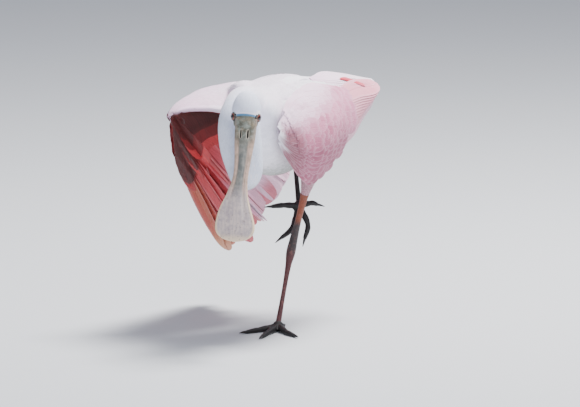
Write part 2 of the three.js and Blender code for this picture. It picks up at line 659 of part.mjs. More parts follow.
function limb({ from, to, face, wide, thick, margin, reach = 0 }) {
  const tangent = unit(from, to);
  const start = along(from, tangent, -reach - 3 * margin);
  const end = along(to, tangent, reach + 3 * margin);
  const spine = (t) => ({ at: mix(start, end, t), side: tangent.clone().cross(face), tangent });
  return swept(
    spine,
    (t) => ({ wide: (wide(t) + margin) * roundEnds(t), above: (thick(t) + margin) * roundEnds(t) }),
    10,
    7,
    false,
  );
}

// Tips from the innermost feather outwards on the hand, and from the wrist inwards on the forearm
const rightPrimaryTips = [
  point(-17, 112, 133),
  point(-21, 129, 130),
  point(-26, 148, 127),
  point(-33, 168, 118),
  point(-38, 188, 92),
  point(-47, 199, 97),
  point(-55, 212, 93),
  point(-63, 226, 83),
  point(-68, 234, 74),
  point(-77, 228, 82),
];
const rightSecondaryTips = [
  point(-17, 115, 144),
  point(-15, 120, 156),
  point(-1, 126, 158),
  point(5, 133, 167),
  point(9, 142, 175),
  point(17, 152, 185),
  point(19, 166, 196),
  point(20, 182, 209),
];
const rightHand = (margin) => [
  limb({
    from: wristRight,
    to: fingerRight,
    face: rightHandFace,
    wide: (t) => 14 - 6 * t,
    thick: (t) => 7 - 3.4 * t,
    margin,
    reach: 8,
  }),
  ...fan({
    count: primaryCount,
    root: (k) => mix(wristRight, fingerRight, 0.05 + 0.9 * (k / (primaryCount - 1))),
    tip: (k) => extended(rightPrimaryTips, k),
    face: rightHandFace,
    bow: -5,
    width: (i) => 28 - i,
    rise: -1,
    layer: 1.9,
    margin,
  }),
];
const secondaryFace = point(-0.78, 0.62, 0.05);
const forearmSpan = elbowRight.clone().sub(wristRight);
const secondaryRoot = (k) =>
  along(wristRight, forearmSpan, 0.08 + (0.88 * k) / (secondaryCount - 1)).addScaledVector(secondaryFace, 3);
const rightForearm = (margin) => [
  roof(margin),
  ...fan({
    count: secondaryCount,
    root: secondaryRoot,
    tip: (k) => extended(rightSecondaryTips, k).addScaledVector(secondaryFace, 3),
    face: secondaryFace,
    bow: 6,
    width: () => 33,
    rise: 1,
    layer: 1.3,
    margin,
  }),
];
const tertialCount = 3;
const rightTertialTips = [point(28, 194, 236), point(33, 202, 256), point(36, 202, 278)];
const rightArm = (margin) => [
  limb({
    from: shoulderRight, to: elbowRight, face: point(0, 0, 1), wide: () => 20, thick: (t) => 17 - 5 * t, margin, reach: 10,
  }),
  ...fan({
    count: tertialCount,
    root: (k) => mix(elbowRight, shoulderRight, 0.02 + 0.22 * k).add(point(-2, 0, 5)),
    tip: (k) => extended(rightTertialTips, k),
    face: point(-0.6, 0.2, 0.77),
    bow: 6,
    width: () => 31,
    rise: 1,
    layer: 1.3,
    margin,
  }),
  ...Array.from({ length: 3 }, (_, i) => {
    const root = onBody(8 - 14 * i, -36 - 4 * (i % 2), 50 + vaneLayer * i);
    const tip = onBody(-92 - 10 * i, -46 + 9 * i, 40 - 3 * i + vaneLayer * i);
    return vane({ root, tip, face: up.clone().addScaledVector(left, -0.5), width: 32, bow: 4, margin });
  }),
];
const roundLeftHand = cutter(leftHand(partGap));
const roundLeftForearm = cutter(leftForearm(partGap));
const roundRightHand = cutter(rightHand(partGap));
const roundRightArm = cutter(rightArm(partGap));
addNode("wing_left_hand", fuse([
  fuse(leftHand(0)).subtract(roundTorso).subtract(roundLegs.get("thigh_left")),
]), pink);
addNode("wing_left_forearm", fuse([
  fuse(leftForearm(0)).subtract(roundTorso).subtract(roundNeck).subtract(roundLeftHand),
]), rose);
addNode("wing_left_arm", fuse([
  fuse(leftArm(0)).subtract(roundTorso).subtract(roundNeck).subtract(roundLeftHand).subtract(roundLeftForearm),
]), white);
addNode("wing_right_hand", fuse([
  fuse(rightHand(0)).subtract(roundTorso).subtract(roundLegs.get("thigh_right")),
]), rose);
addNode("wing_right_arm", fuse([fuse(rightArm(0)).subtract(roundTorso).subtract(roundNeck)]), white);
addNode("wing_right_forearm", fuse([
  fuse(rightForearm(0)).subtract(roundTorso).subtract(roundNeck).subtract(roundRightHand).subtract(roundRightArm),
]), rose);

export default bird;
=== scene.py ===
"""A roseate spoonbill that stands on its left foot and stretches its right wing and right leg.

Every surface is worked out with numpy in millimetres, in the frame of the solids: +Z is up, the bird looks
along -Y, and the origin is on the floor under the ankle of the standing foot.
"""

import math

import bpy
import numpy as np
from mathutils import Matrix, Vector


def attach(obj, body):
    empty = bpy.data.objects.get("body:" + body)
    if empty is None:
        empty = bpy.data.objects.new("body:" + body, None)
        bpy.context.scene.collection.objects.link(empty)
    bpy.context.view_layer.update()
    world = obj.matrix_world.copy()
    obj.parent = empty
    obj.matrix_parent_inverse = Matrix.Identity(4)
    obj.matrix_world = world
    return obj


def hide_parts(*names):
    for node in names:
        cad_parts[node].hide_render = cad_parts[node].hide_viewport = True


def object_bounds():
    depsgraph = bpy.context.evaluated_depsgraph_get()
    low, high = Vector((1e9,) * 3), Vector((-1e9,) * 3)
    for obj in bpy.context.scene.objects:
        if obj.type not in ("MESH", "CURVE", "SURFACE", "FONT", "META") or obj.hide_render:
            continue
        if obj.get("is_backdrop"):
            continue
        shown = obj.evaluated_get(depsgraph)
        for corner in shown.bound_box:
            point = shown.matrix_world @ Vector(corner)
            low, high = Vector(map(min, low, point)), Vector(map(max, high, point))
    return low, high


bl_info = {
    "name": "Roseate spoonbill",
    "version": (1, 0, 0),
    "blender": (4, 5, 0),
    "location": "3D View > Sidebar > Spoonbill",
    "description": "Builds the plumage, bill, eyes, legs and stage of a standing roseate spoonbill",
    "category": "Object",
}

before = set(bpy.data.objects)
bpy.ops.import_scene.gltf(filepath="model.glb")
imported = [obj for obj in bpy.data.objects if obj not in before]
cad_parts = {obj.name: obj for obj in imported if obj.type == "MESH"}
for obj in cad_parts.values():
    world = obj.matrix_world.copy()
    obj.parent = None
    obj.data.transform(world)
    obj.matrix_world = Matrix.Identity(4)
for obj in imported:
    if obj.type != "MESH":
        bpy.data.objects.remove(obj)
cad_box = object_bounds()
MM = 0.001


def linear(red, green, blue):
    """Scene-linear colour of an sRGB colour given from 0 to 255."""
    c = np.array([red, green, blue], float) / 255
    return tuple(np.where(c <= 0.04045, c / 12.92, ((c + 0.055) / 1.055) ** 2.4))


# Curves and frames

def unit(v):
    """Vectors scaled to length one."""
    v = np.asarray(v, float)
    return v / np.maximum(np.linalg.norm(v, axis=-1, keepdims=True), 1e-9)


def mix(a, b, t):
    """The point t of the way from a to b."""
    t = np.asarray(t, float)[..., None]
    return np.asarray(a, float) * (1 - t) + np.asarray(b, float) * t


def smooth(low, high, x):
    """A smooth step from 0 at low to 1 at high."""
    s = np.clip((np.asarray(x, float) - low) / (high - low), 0, 1)
    return s * s * (3 - 2 * s)


def sized(stops):
    """A smooth cubic through [place, size] stops, as a function of the place."""
    xs, ys = np.array(stops, float).T
    slope = np.empty_like(ys)
    slope[1:-1] = (ys[2:] - ys[:-2]) / (xs[2:] - xs[:-2])
    slope[0] = (ys[1] - ys[0]) / (xs[1] - xs[0])
    slope[-1] = (ys[-1] - ys[-2]) / (xs[-1] - xs[-2])

    def at(t):
        t = np.asarray(t, float)
        i = np.clip(np.searchsorted(xs, t, side="right") - 1, 0, len(xs) - 2)
        span = xs[i + 1] - xs[i]
        s = np.clip((t - xs[i]) / span, 0, 1)
        return (
            ys[i] * (1 + 2 * s) * (1 - s) ** 2 + slope[i] * span * s * (1 - s) ** 2
            + ys[i + 1] * s * s * (3 - 2 * s) + slope[i + 1] * span * s * s * (s - 1)
        )
    return at


def sized_at(places, *sizes):
    """One smooth cubic for each row of sizes, all of them through the same places."""
    return [sized(list(zip(places, row))) for row in sizes]


class Curve:
    """A smooth curve through points, read by its share of length."""

    samples = 60

    def __init__(self, points):
        p = np.asarray(points, float)
        p = np.vstack([2 * p[0] - p[1], p, 2 * p[-1] - p[-2]])
        rows = []
        s = np.linspace(0, 1, self.samples, endpoint=False)[:, None]
        for x0, x1, x2, x3 in zip(p[:-3], p[1:-2], p[2:-1], p[3:]):
            d0, d1, d2 = (max(np.linalg.norm(step) ** 0.5, 1e-4) for step in (x1 - x0, x2 - x1, x3 - x2))
            m1 = ((x1 - x0) / d0 - (x2 - x0) / (d0 + d1) + (x2 - x1) / d1) * d1
            m2 = ((x2 - x1) / d1 - (x3 - x1) / (d1 + d2) + (x3 - x2) / d2) * d1
            squares = -3 * x1 + 3 * x2 - 2 * m1 - m2
            cubes = 2 * x1 - 2 * x2 + m1 + m2
            rows.append(x1 + m1 * s + squares * s**2 + cubes * s**3)
        rows.append(p[-2][None])
        self.points = np.vstack(rows)
        steps = np.linalg.norm(np.diff(self.points, axis=0), axis=1)
        self.share = np.concatenate([[0], np.cumsum(steps)]) / steps.sum()
        self.length = steps.sum()

    def at(self, s):
        """The point at a share of the length."""
        return np.stack([np.interp(s, self.share, self.points[:, k]) for k in range(3)], -1)

    def along(self, s):
        """The direction at a share of the length, from a point a little before it to one a little after."""
        probe = 0.004
        s = np.asarray(s, float)
        return unit(self.at(np.clip(s + probe, 0, 1)) - self.at(np.clip(s - probe, 0, 1)))


def framed(centre, ahead_axis, left_axis, up_axis):
    """A function that gives the point so far ahead, to the left and above a centre, along its own axes."""
    def at(ahead, to_left, above):
        ahead, to_left, above = (np.asarray(x, float)[..., None] for x in (ahead, to_left, above))
        return centre + ahead * ahead_axis + to_left * left_axis + above * up_axis
    return at


body_heading = math.radians(29)
body_pitch = math.radians(5)
body_centre = np.array([10.0, 2, 284])
level = math.cos(body_pitch)
forward = np.array([-math.sin(body_heading) * level, -math.cos(body_heading) * level, -math.sin(body_pitch)])
left = np.array([math.cos(body_heading), -math.sin(body_heading), 0])
up = np.cross(forward, left)
on_body = framed(body_centre, forward, left, up)


# Surfaces of the flesh

def closed(first, last=None, power=6):
    """A half size that goes evenly from first to last and shuts at both ends, as the root of one less a
    power of the place counted from the middle: the higher the power, the blunter the ends."""
    grow = 0 if last is None else last - first
    return lambda t: (first + grow * t) * np.sqrt(np.maximum(0, 1 - (2 * np.asarray(t, float) - 1) ** power))


def steady(direction):
    """The same direction at every place."""
    return lambda t: np.broadcast_to(np.asarray(direction, float), np.shape(t) + (3,))


def squared(side, tangent):
    """The part of side that is square to tangent, at length one."""
    return unit(side - tangent * np.sum(side * tangent, -1, keepdims=True))


class Swept:
    """A body carried along a spine: at t, an oval with its own half width and half heights. Its side is one
    direction or a function of t."""

    def __init__(self, spine, along, side, wide, above, below=None):
        self.spine, self.along = spine, along
        self.side = side if callable(side) else steady(side)
        self.wide, self.above, self.below = wide, above, below or above

    def frame(self, t):
        """The middle at t and the directions along the body, across it and to its face."""
        tangent = self.along(t)
        across = squared(self.side(t), tangent)
        return self.spine(t), tangent, across, np.cross(tangent, across)

    def at(self, t, angle, lift=0.0):
        """The point at t along and angle around, raised by lift."""
        least = 0.05
        t, angle = np.broadcast_arrays(np.asarray(t, float), np.asarray(angle, float))
        centre, _, across, face = self.frame(t)
        high = np.where(np.sin(angle) > 0, self.above(t), self.below(t))
        return (
            centre + across * (np.maximum(self.wide(t) + lift, least) * np.cos(angle))[..., None]
            + face * (np.maximum(high + lift, least) * np.sin(angle))[..., None]
        )

    def holds(self, points, grow=0.0):
        """Whether each point is inside the body grown by grow, judged at the nearest of its stations."""
        ts = np.linspace(0.001, 0.999, 90)
        centre, tangent, across, face = self.frame(ts)
        gap = points[:, None] - centre[None]
        nearest = np.argmin(np.sum(gap**2, -1), axis=1)
        d = points - centre[nearest]
        step = np.sum(d * tangent[nearest], -1)
        d = d - tangent[nearest] * step[:, None]
        x = np.sum(d * across[nearest], -1)
        y = np.sum(d * face[nearest], -1)
        t = ts[nearest]
        wide = np.maximum(self.wide(t) + grow, 0.1)
        high = np.maximum(np.where(y > 0, self.above(t), self.below(t)) + grow, 0.1)
        ends = ((nearest == 0) & (step < 0)) | ((nearest == len(ts) - 1) & (step > 0))
        return ((x / wide) ** 2 + (y / high) ** 2 < 1) & ~(ends & (np.abs(step) > 1 + grow))


torso_rise = sized([[0, 20], [0.3, 6], [0.6, 0], [1, -4]])
torso = Swept(
    lambda t: on_body((2 * t - 1) * 118, 0, torso_rise(t)), steady(forward), left,
    *sized_at(
        (0, 0.04, 0.12, 0.25, 0.4, 0.55, 0.7, 0.85, 0.94, 1), (0, 15, 26, 40, 50, 54, 51, 40, 26, 0),
        (0, 11, 20, 36, 52, 59, 59, 47, 30, 0), (0, 13, 26, 43, 60, 68, 66, 50, 31, 0),
    ),
)
mantle = Swept(
    lambda t: on_body(10 + (2 * t - 1) * 78, -13, 38), steady(forward), left, closed(41, power=2),
    closed(21.5, power=2),
)
nape = Swept(
    lambda t: mix((-47, -96, 296), (-12, -22, 306), t), steady(unit([35.0, 74, 10])), left,
    closed(44, power=4), closed(33, power=4),
)
neck_line = Curve([
    (-30, -52, 296), (-46, -92, 314), (-59, -118, 296), (-58.5, -121, 264), (-51, -122, 239),
    (-44, -134, 225), (-37, -150, 235), (-37, -154, 262), (-38, -155, 290), (-39.5, -158, 312),
    (-40, -170, 325),
])
neck_girth = sized([
    [0, 42], [0.06, 36], [0.13, 29], [0.25, 21.5], [0.4, 19], [0.55, 18.5], [0.8, 17.5], [1, 16],
])
neck = Swept(neck_line.at, neck_line.along, (1, 0, 0), neck_girth, neck_girth)
head_centre = np.array([-40.5, -176, 321])
head_forward = unit([-0.07, -0.45, -0.89])
head_left = squared(np.array([1.0, 0, 0]), head_forward)
head_up = np.cross(head_forward, head_left)
on_head = framed(head_centre, head_forward, head_left, head_up)
head_length = 57.0
head_shift = 3.0
head = Swept(
    lambda t: on_head((t - 0.5) * head_length + head_shift, 0, 0), steady(head_forward), head_left,
    *sized_at(
        (0, 0.06, 0.2, 0.42, 0.6, 0.75, 0.9, 1), (0, 9, 15.5, 19.3, 19, 17.2, 14, 0),
        (0, 9, 14.5, 17, 16.6, 14, 10, 0), (0, 9, 14, 16.5, 17, 16, 11, 0),
    ),
)

ankle_left = np.array([0.0, 0, 9])
hock_left = np.array([18.0, 38, 106.5])
knee_left = on_body(-9, 38, -44)
ankle_right = np.array([28.0, 85, 158])
hock_right = np.array([19.0, 130, 250])
knee_right = on_body(28, -36, -38)
leg_girth = sized([
    [0, 17], [0.1, 14], [0.2, 8.5], [0.27, 5.6], [0.4, 4.3], [0.53, 5.6], [0.6, 6.4], [0.67, 4.2], [0.8, 3.1],
    [1, 3.8],
])


def leg_line(knee, hock, ankle):
    """The bent line of a leg through knee, hock and ankle."""
    bend = 0.12
    return Curve([
        knee, mix(knee, hock, 0.5), mix(hock, knee, bend), mix(hock, ankle, bend), mix(hock, ankle, 0.55),
        ankle,
    ])


leg_lines = {
    "left": leg_line(knee_left, hock_left, ankle_left),
    "right": leg_line(knee_right, hock_right, ankle_right),
}


def leg_part(side, start, end, flat=1.0):
    """The round body of a leg between two shares of its line, with its width times flat."""
    line = leg_lines[side]

    def share(t):
        return start + (end - start) * t
    return Swept(
        lambda t: line.at(share(t)), lambda t: line.along(share(t)), (1, 0, 0),
        lambda t: leg_girth(share(t)) * flat, lambda t: leg_girth(share(t)),
    )


thighs = {side: leg_part(side, 0, 0.27) for side in leg_lines}

shoulder_right = np.array([-42.0, -30, 327])
elbow_right = np.array([-56.0, 62, 312])
wrist_right = np.array([-133.0, -30, 289])
finger_right = np.array([-134.0, 45, 230])


def straight(a, b, reach, face, wide, high):
    """A limb from reach before a to reach past b, on one straight line."""
    tangent = unit(b - a)
    start, end = a - tangent * reach, b + tangent * reach
    return Swept(lambda t: mix(start, end, t), steady(tangent), np.cross(tangent, face), wide, high)


right_hand_face = np.array([0.04, 0.63, 0.776])
right_arm = straight(shoulder_right, elbow_right, 10, (0, 0, 1), closed(20), closed(17, 12))
right_hand = straight(wrist_right, finger_right, 8, right_hand_face, closed(14, 8), closed(7, 3.6))

# The roof of the half opened wing, from the body to the wrist: its side leans forward along its line
roof_line = Curve([
    (-14, 14, 302), (-46, 13, 310), (-76, 9, 309), (-104, -2, 307), (-131, -16, 300), (-147, -27, 288),
])
roof_tilt = sized([[0, -0.24], [0.44, -0.24], [0.66, -0.16], [1, -0.08]])
roof = Swept(
    roof_line.at, roof_line.along, lambda t: np.stack([0.1 + 0 * t, -0.96 + 0 * t, roof_tilt(t)], -1),
    *sized_at(
        (0, 0.2, 0.44, 0.66, 0.85, 0.95, 1), (44, 54, 49, 36, 21, 11, 0.5), (20, 17, 12, 8.6, 7, 5.5, 0.5),
    ),
    sized([[0, 14], [0.44, 12], [0.66, 9], [0.85, 7], [0.95, 5], [1, 0.5]]),
)


# The sheet that carries the folded left wing

# At places along the body, how far to the left and above it the sheet's lower, middle and upper rows run
sheet_places = (-215, -175, -120, -60, -10, 20, 50, 70, 85, 93, 100)
sheet_rows = [
    sized_at(sheet_places, to_left, above) for to_left, above in (
        ((19, 24, 35, 45, 51, 53, 53, 54, 51, 47, 41), (-15, -25, -42, -51, -56, -61, -62, -48, -29, -15, 2)),
        ((22, 28, 36, 48, 55, 57, 56, 54, 50, 46, 40), (-4, -2, 3, 2, 2, 0, -3, -4, -5, -1, 6)),
        ((10, 10, 11, 13, 15, 16, 20, 26, 31, 34, 38), (-1, 10, 25, 38, 48, 49, 43, 35, 26, 19, 10)),
    )
]


def on_sheet(a, q, lift=0.0):
    """A point of the wing's sheet at a along the body and share q from its lower to its upper row, and the
    outward direction there. The three rows are joined by a parabola in q."""
    a, q, lift = np.broadcast_arrays(*(np.asarray(x, float) for x in (a, q, lift)))

    def place(a, q):
        weights = ((1 - q) * (1 - 2 * q), 4 * q * (1 - q), q * (2 * q - 1))
        to_left, above = (sum(w * row[k](a) for w, row in zip(weights, sheet_rows)) for k in (0, 1))
        return on_body(a, to_left, above)
    at = place(a, q)
    normal = unit(np.cross(place(a - 1, q) - at, place(a, q + 0.01) - at))
    return at + normal * lift[..., None], normal


def laid_limb(start, end, wide, thick):
    """A limb that runs along the left wing's sheet between two [ahead, share, lift] places."""
    def place(t):
        return on_sheet(*np.moveaxis(mix(start, end, t), -1, 0))

    def along(t):
        return unit(place(t + 0.01)[0] - place(t)[0])
    return Swept(
        lambda t: place(t)[0], along, lambda t: np.cross(along(t), place(t)[1]), closed(wide), closed(thick),
    )


left_forearm = laid_limb((92, 0.62, 8.8), (-42, 0.66, 8.8), 28, 4.2)
left_hand = laid_limb((94, 0.42, 4), (50, 0.06, 4), 11, 3.4)
left_arm = laid_limb((58, 0.93, 7), (-46, 0.93, 7), 12, 5)


# Building meshes

def add_value(mesh, title, values):
    """Keeps a number for each point of a mesh."""
    layer = mesh.attributes.new(title, "FLOAT", "POINT")
    layer.data.foreach_set("value", np.asarray(values, np.float32).ravel())


def add_tint(mesh, colours):
    """Keeps a colour for each point of a mesh."""
    rgba = np.ones((len(mesh.vertices), 4), np.float32)
    rgba[:, :3] = colours
    layer = mesh.attributes.new("tint", "FLOAT_COLOR", "POINT")
    layer.data.foreach_set("color", rgba.ravel())


def new_mesh(name, points, quads, smooth_angle=50, uv=None, bake=None, tint=None, values=None):
    """A mesh from arrays of points (mm) and quads, where a quad that names a point twice is a triangle.
    uv, bake, tint and the named values are given per point."""
    quads = np.asarray(quads, np.int64)
    twice = quads == np.roll(quads, -1, axis=1)
    sizes = 4 - twice.any(1).astype(int)
    keep = ~twice
    keep[sizes == 4] = True
    loops = quads[keep]
    starts = np.concatenate([[0], np.cumsum(sizes)[:-1]])
    mesh = bpy.data.meshes.new(name)
    mesh.vertices.add(len(points))
    mesh.vertices.foreach_set("co", (np.asarray(points, float) * MM).astype(np.float32).ravel())
    mesh.loops.add(len(loops))
    mesh.loops.foreach_set("vertex_index", loops.astype(np.int32))
    mesh.polygons.add(len(quads))
    mesh.polygons.foreach_set("loop_start", starts.astype(np.int32))
    mesh.update(calc_edges=True)
    mesh.polygons.foreach_set("use_smooth", np.ones(len(quads), bool))
    for title, places in (("FeatherUV", uv), ("OFBake", bake)):
        if places is not None:
            layer = mesh.uv_layers.new(name=title)
            layer.data.foreach_set("uv", np.asarray(places, np.float32)[loops].ravel())
    if tint is not None:
        add_tint(mesh, tint)
    for title, numbers in (values or {}).items():
        add_value(mesh, title, numbers)
    mesh.validate()
    mesh.set_sharp_from_angle(angle=math.radians(smooth_angle))
    piece = bpy.data.objects.new(name, mesh)
    bpy.context.scene.collection.objects.link(piece)
    return piece


def settle(piece, material, slot, *nodes):
    """Gives a piece its material, its place on the body and the nodes that it stands for."""
    piece.data.materials.clear()
    piece.data.materials.append(material)
    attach(piece, "root")
    if nodes:
        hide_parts(*nodes)


def outward(points, quads):
    """The quads, turned round where they face inwards, which the sign of their volume about the middle
    tells."""
    p = points - points.mean(0)
    volume = np.sum(p[quads[:, 0]] * np.cross(p[quads[:, 1]], p[quads[:, 2]]))
    return quads if volume > 0 else quads[:, ::-1]


def tube(rings):
    """Points and quads of a surface through rings of points, (rings, around, 3), with a fan at both
    ends."""
    n, m = rings.shape[:2]
    points = np.vstack([rings.reshape(-1, 3), rings[0].mean(0), rings[-1].mean(0)])
    i, j = np.meshgrid(np.arange(n - 1), np.arange(m), indexing="ij")
    k = (j + 1) % m
    sides = np.stack([i * m + j, i * m + k, (i + 1) * m + k, (i + 1) * m + j], -1).reshape(-1, 4)
    j, k = j[0], k[0]
    start, end = np.full(m, n * m), np.full(m, n * m + 1)
    last = (n - 1) * m
    fans = [np.stack([start, k, j, j], -1), np.stack([end, last + j, last + k, last + k], -1)]
    return points, outward(points, np.vstack([sides, *fans]))


def swept_mesh(body, steps, around, depth=0.0):
    """Points and quads of a swept body, sunk by depth. Its stations crowd towards its ends as on a ball."""
    t = (1 - np.cos(np.linspace(0.02, np.pi - 0.02, steps))) / 2
    angle = np.linspace(0, 2 * np.pi, around, endpoint=False)
    return tube(body.at(t[:, None], angle[None], -depth))


def as_modified(piece):
    """A new mesh of a piece with its modifiers applied."""
    return bpy.data.meshes.new_from_object(piece.evaluated_get(bpy.context.evaluated_depsgraph_get()))


def points_of(mesh):
    """The points of a mesh in millimetres."""
    at = np.empty(len(mesh.vertices) * 3, np.float32)
    mesh.vertices.foreach_get("co", at)
    return at.reshape(-1, 3).astype(float) / MM


def fused(name, parts, voxel, rounds, floor=-math.inf):
    """Closed surfaces merged into one piece by a voxel remesh, then smoothed for some rounds. No point of
    them is under the floor."""
    points, quads, shift = [], [], 0
    for p, q in parts:
        points.append(p)
        quads.append(q + shift)
        shift += len(p)
    points = np.vstack(points)
    points[:, 2] = np.maximum(points[:, 2], floor)
    piece = new_mesh(name, points, np.vstack(quads), 180)
    remesh = piece.modifiers.new("Remesh", "REMESH")
    remesh.mode = "VOXEL"
    remesh.voxel_size = voxel
    remesh.use_smooth_shade = True
    soften = piece.modifiers.new("Soften", "SMOOTH")
    soften.iterations = rounds
    whole = as_modified(piece)
    piece.modifiers.clear()
    piece.data = whole
    return piece


# Feathers

contour_shape = sized([[0, 0.4], [0.3, 0.85], [0.6, 1], [0.85, 0.8], [0.96, 0.42], [1, 0.1]])
quill_shape = sized([
    [0, 0.16], [0.08, 0.3], [0.3, 0.86], [0.6, 1], [0.84, 0.94], [0.94, 0.74], [0.985, 0.42], [1, 0.1],
])
blunt_shape = sized([
    [0, 0.16], [0.08, 0.3], [0.3, 0.86], [0.6, 1], [0.88, 1], [0.96, 0.86], [0.99, 0.6], [1, 0.2],
])


def stations(steps):
    """Places along a feather from its root at 0 to its tip at 1, closer together towards the tip."""
    return 1 - (1 - np.linspace(0, 1, steps)) ** 1.6


def widths(width, shape, steps, count):
    """Widths of feathers at their stations."""
    return np.broadcast_to(np.asarray(width, float), (count,))[:, None] * shape(stations(steps))[None]


def between_rows(starts, ends, steps):
    """Straight middle lines of feathers from their starts to their ends."""
    return mix(starts[:, None], ends[:, None], np.broadcast_to(stations(steps), (len(starts), steps)))


def squared_to(centre, normal):
    """Feathers' directions across and their normals, square to their middle lines, from a rough normal."""
    along = unit(np.gradient(centre, axis=1))
    across = unit(np.cross(along, normal))
    return across, np.cross(across, along)


def plume_mesh(name, centre, across, normal, width, colour, thick, camber, bake, columns):
    """Feathers as closed lens-shaped plates, all of them one mesh.

    centre, across and normal are (feathers, stations, 3) and width is (feathers, stations). Across a
    feather x runs from -1 to 1 over its upper face and back under it. A point is the centre line plus x
    times half the width, raised by the camber's parabola and by half the thickness, which is least at both
    edges.
    """
    count, steps = width.shape
    x = np.linspace(-1, 1, columns)
    x = np.concatenate([x, x[-2:0:-1]])
    face = np.concatenate([np.ones(columns), -np.ones(columns - 2)])
    face[[0, columns - 1]] = 0
    m = len(x)
    half = width[..., None, None] / 2
    bulge = (1 - x**2)[None, None, :, None]
    height = camber * half * bulge + thick / 2 * face[None, None, :, None] * (0.35 + 0.65 * bulge)
    sideways = x[None, None, :, None] * half
    points = centre[:, :, None] + across[:, :, None] * sideways + normal[:, :, None] * height
    i, j = np.meshgrid(np.arange(steps - 1), np.arange(m), indexing="ij")
    k = (j + 1) % m
    sides = np.stack([i * m + j, (i + 1) * m + j, (i + 1) * m + k, i * m + k], -1).reshape(-1, 4)
    a = np.arange(columns - 1)
    under_next = m - a - 1
    under_next[-1] = columns - 1
    root_cap = np.stack([a, a + 1, under_next, (m - a) % m], -1)
    one = np.vstack([sides, root_cap, root_cap[:, ::-1] + (steps - 1) * m])
    quads = (one[None] + (np.arange(count) * steps * m)[:, None, None]).reshape(-1, 4)
    uv = np.stack(np.broadcast_arrays(x[None, None, :] * 0.5 + 0.5, stations(steps)[None, :, None]), -1)
    uv = np.broadcast_to(uv, (count, steps, m, 2))
    corner, size = bake
    baked = np.broadcast_to(corner, (count, 2))[:, None, None] + uv * size
    colour = colour[:, :, None] if colour.ndim == 3 else colour[:, None, None]
    tint = np.broadcast_to(colour, (count, steps, m, 3))
    return new_mesh(
        name, points.reshape(-1, 3), quads, uv=uv.reshape(-1, 2), bake=baked.reshape(-1, 2),
        tint=tint.reshape(-1, 3),
    )


def feathers(name, data, colour, finish, slot, thick, camber, columns=5, nodes=()):
    """Big feathers as one piece. A grid of patches fills the unit square, one for each feather's own part
    of it."""
    gap = 0.1
    side = math.ceil(math.sqrt(len(colour)))
    k = np.arange(len(colour))
    corner = np.stack([(k % side + gap / 2) / side, (k // side + gap / 2) / side], -1)
    bake = (corner, (1 - gap) / side)
    made = plume_mesh(name, *data, np.clip(colour, 0, 1), thick, camber, bake, columns)
    settle(made, finish, slot, *nodes)


def scatter(rows_count, per_row, seed):
    """Roots in staggered rows over a unit square, each moved a little."""
    jitter = 0.35
    draw = np.random.default_rng(seed)
    r, c = np.meshgrid(np.arange(rows_count), np.arange(per_row), indexing="ij")
    s = (c + 0.5 * (r % 2) + jitter * draw.uniform(-1, 1, r.shape)) / per_row % 1
    t = (r + 0.5 + jitter * draw.uniform(-1, 1, r.shape)) / rows_count
    return s.ravel(), np.clip(t, 0.001, 0.999).ravel(), draw


def on_skin(points):
    """The skin's nearest places to the points and its outward directions there: a cloud of the points is
    shrunk onto the skin, once to its surface and once to a millimetre above it."""
    mesh = bpy.data.meshes.new("cloud")
    mesh.vertices.add(points.size // 3)
    mesh.vertices.foreach_set("co", (points * MM).astype(np.float32).ravel())
    cloud = bpy.data.objects.new("cloud", mesh)
    bpy.context.scene.collection.objects.link(cloud)
    shrink = cloud.modifiers.new("Shrink", "SHRINKWRAP")
    shrink.target = bpy.data.objects["plumage_skin"]
    shrink.wrap_mode = "ABOVE_SURFACE"
    layers = []
    for offset in (0, MM):
        shrink.offset = offset
        found = as_modified(cloud)
        layers.append(points_of(found).reshape(points.shape))
        bpy.data.meshes.remove(found)
    bpy.data.objects.remove(cloud)
    bpy.data.meshes.remove(mesh)
    return layers[0], unit(layers[1] - layers[0])


def on_line(line, lift):
    """Feathers that follow lines of points on the skin, raised from it by lift: their middles, their
    directions across and their normals."""
    skin, normal = on_skin(line)
    centre = skin + normal * np.broadcast_to(lift, line.shape[:2])[..., None]
    return centre, *squared_to(centre, normal)


# Share of a body's breadth that a half coat covers, from the edge at angle 0, above and below
half_cover = {1: 0.78, -1: 0.6}
# How far a feather's middle line may be from the skin before it is left out
snap = 5.0


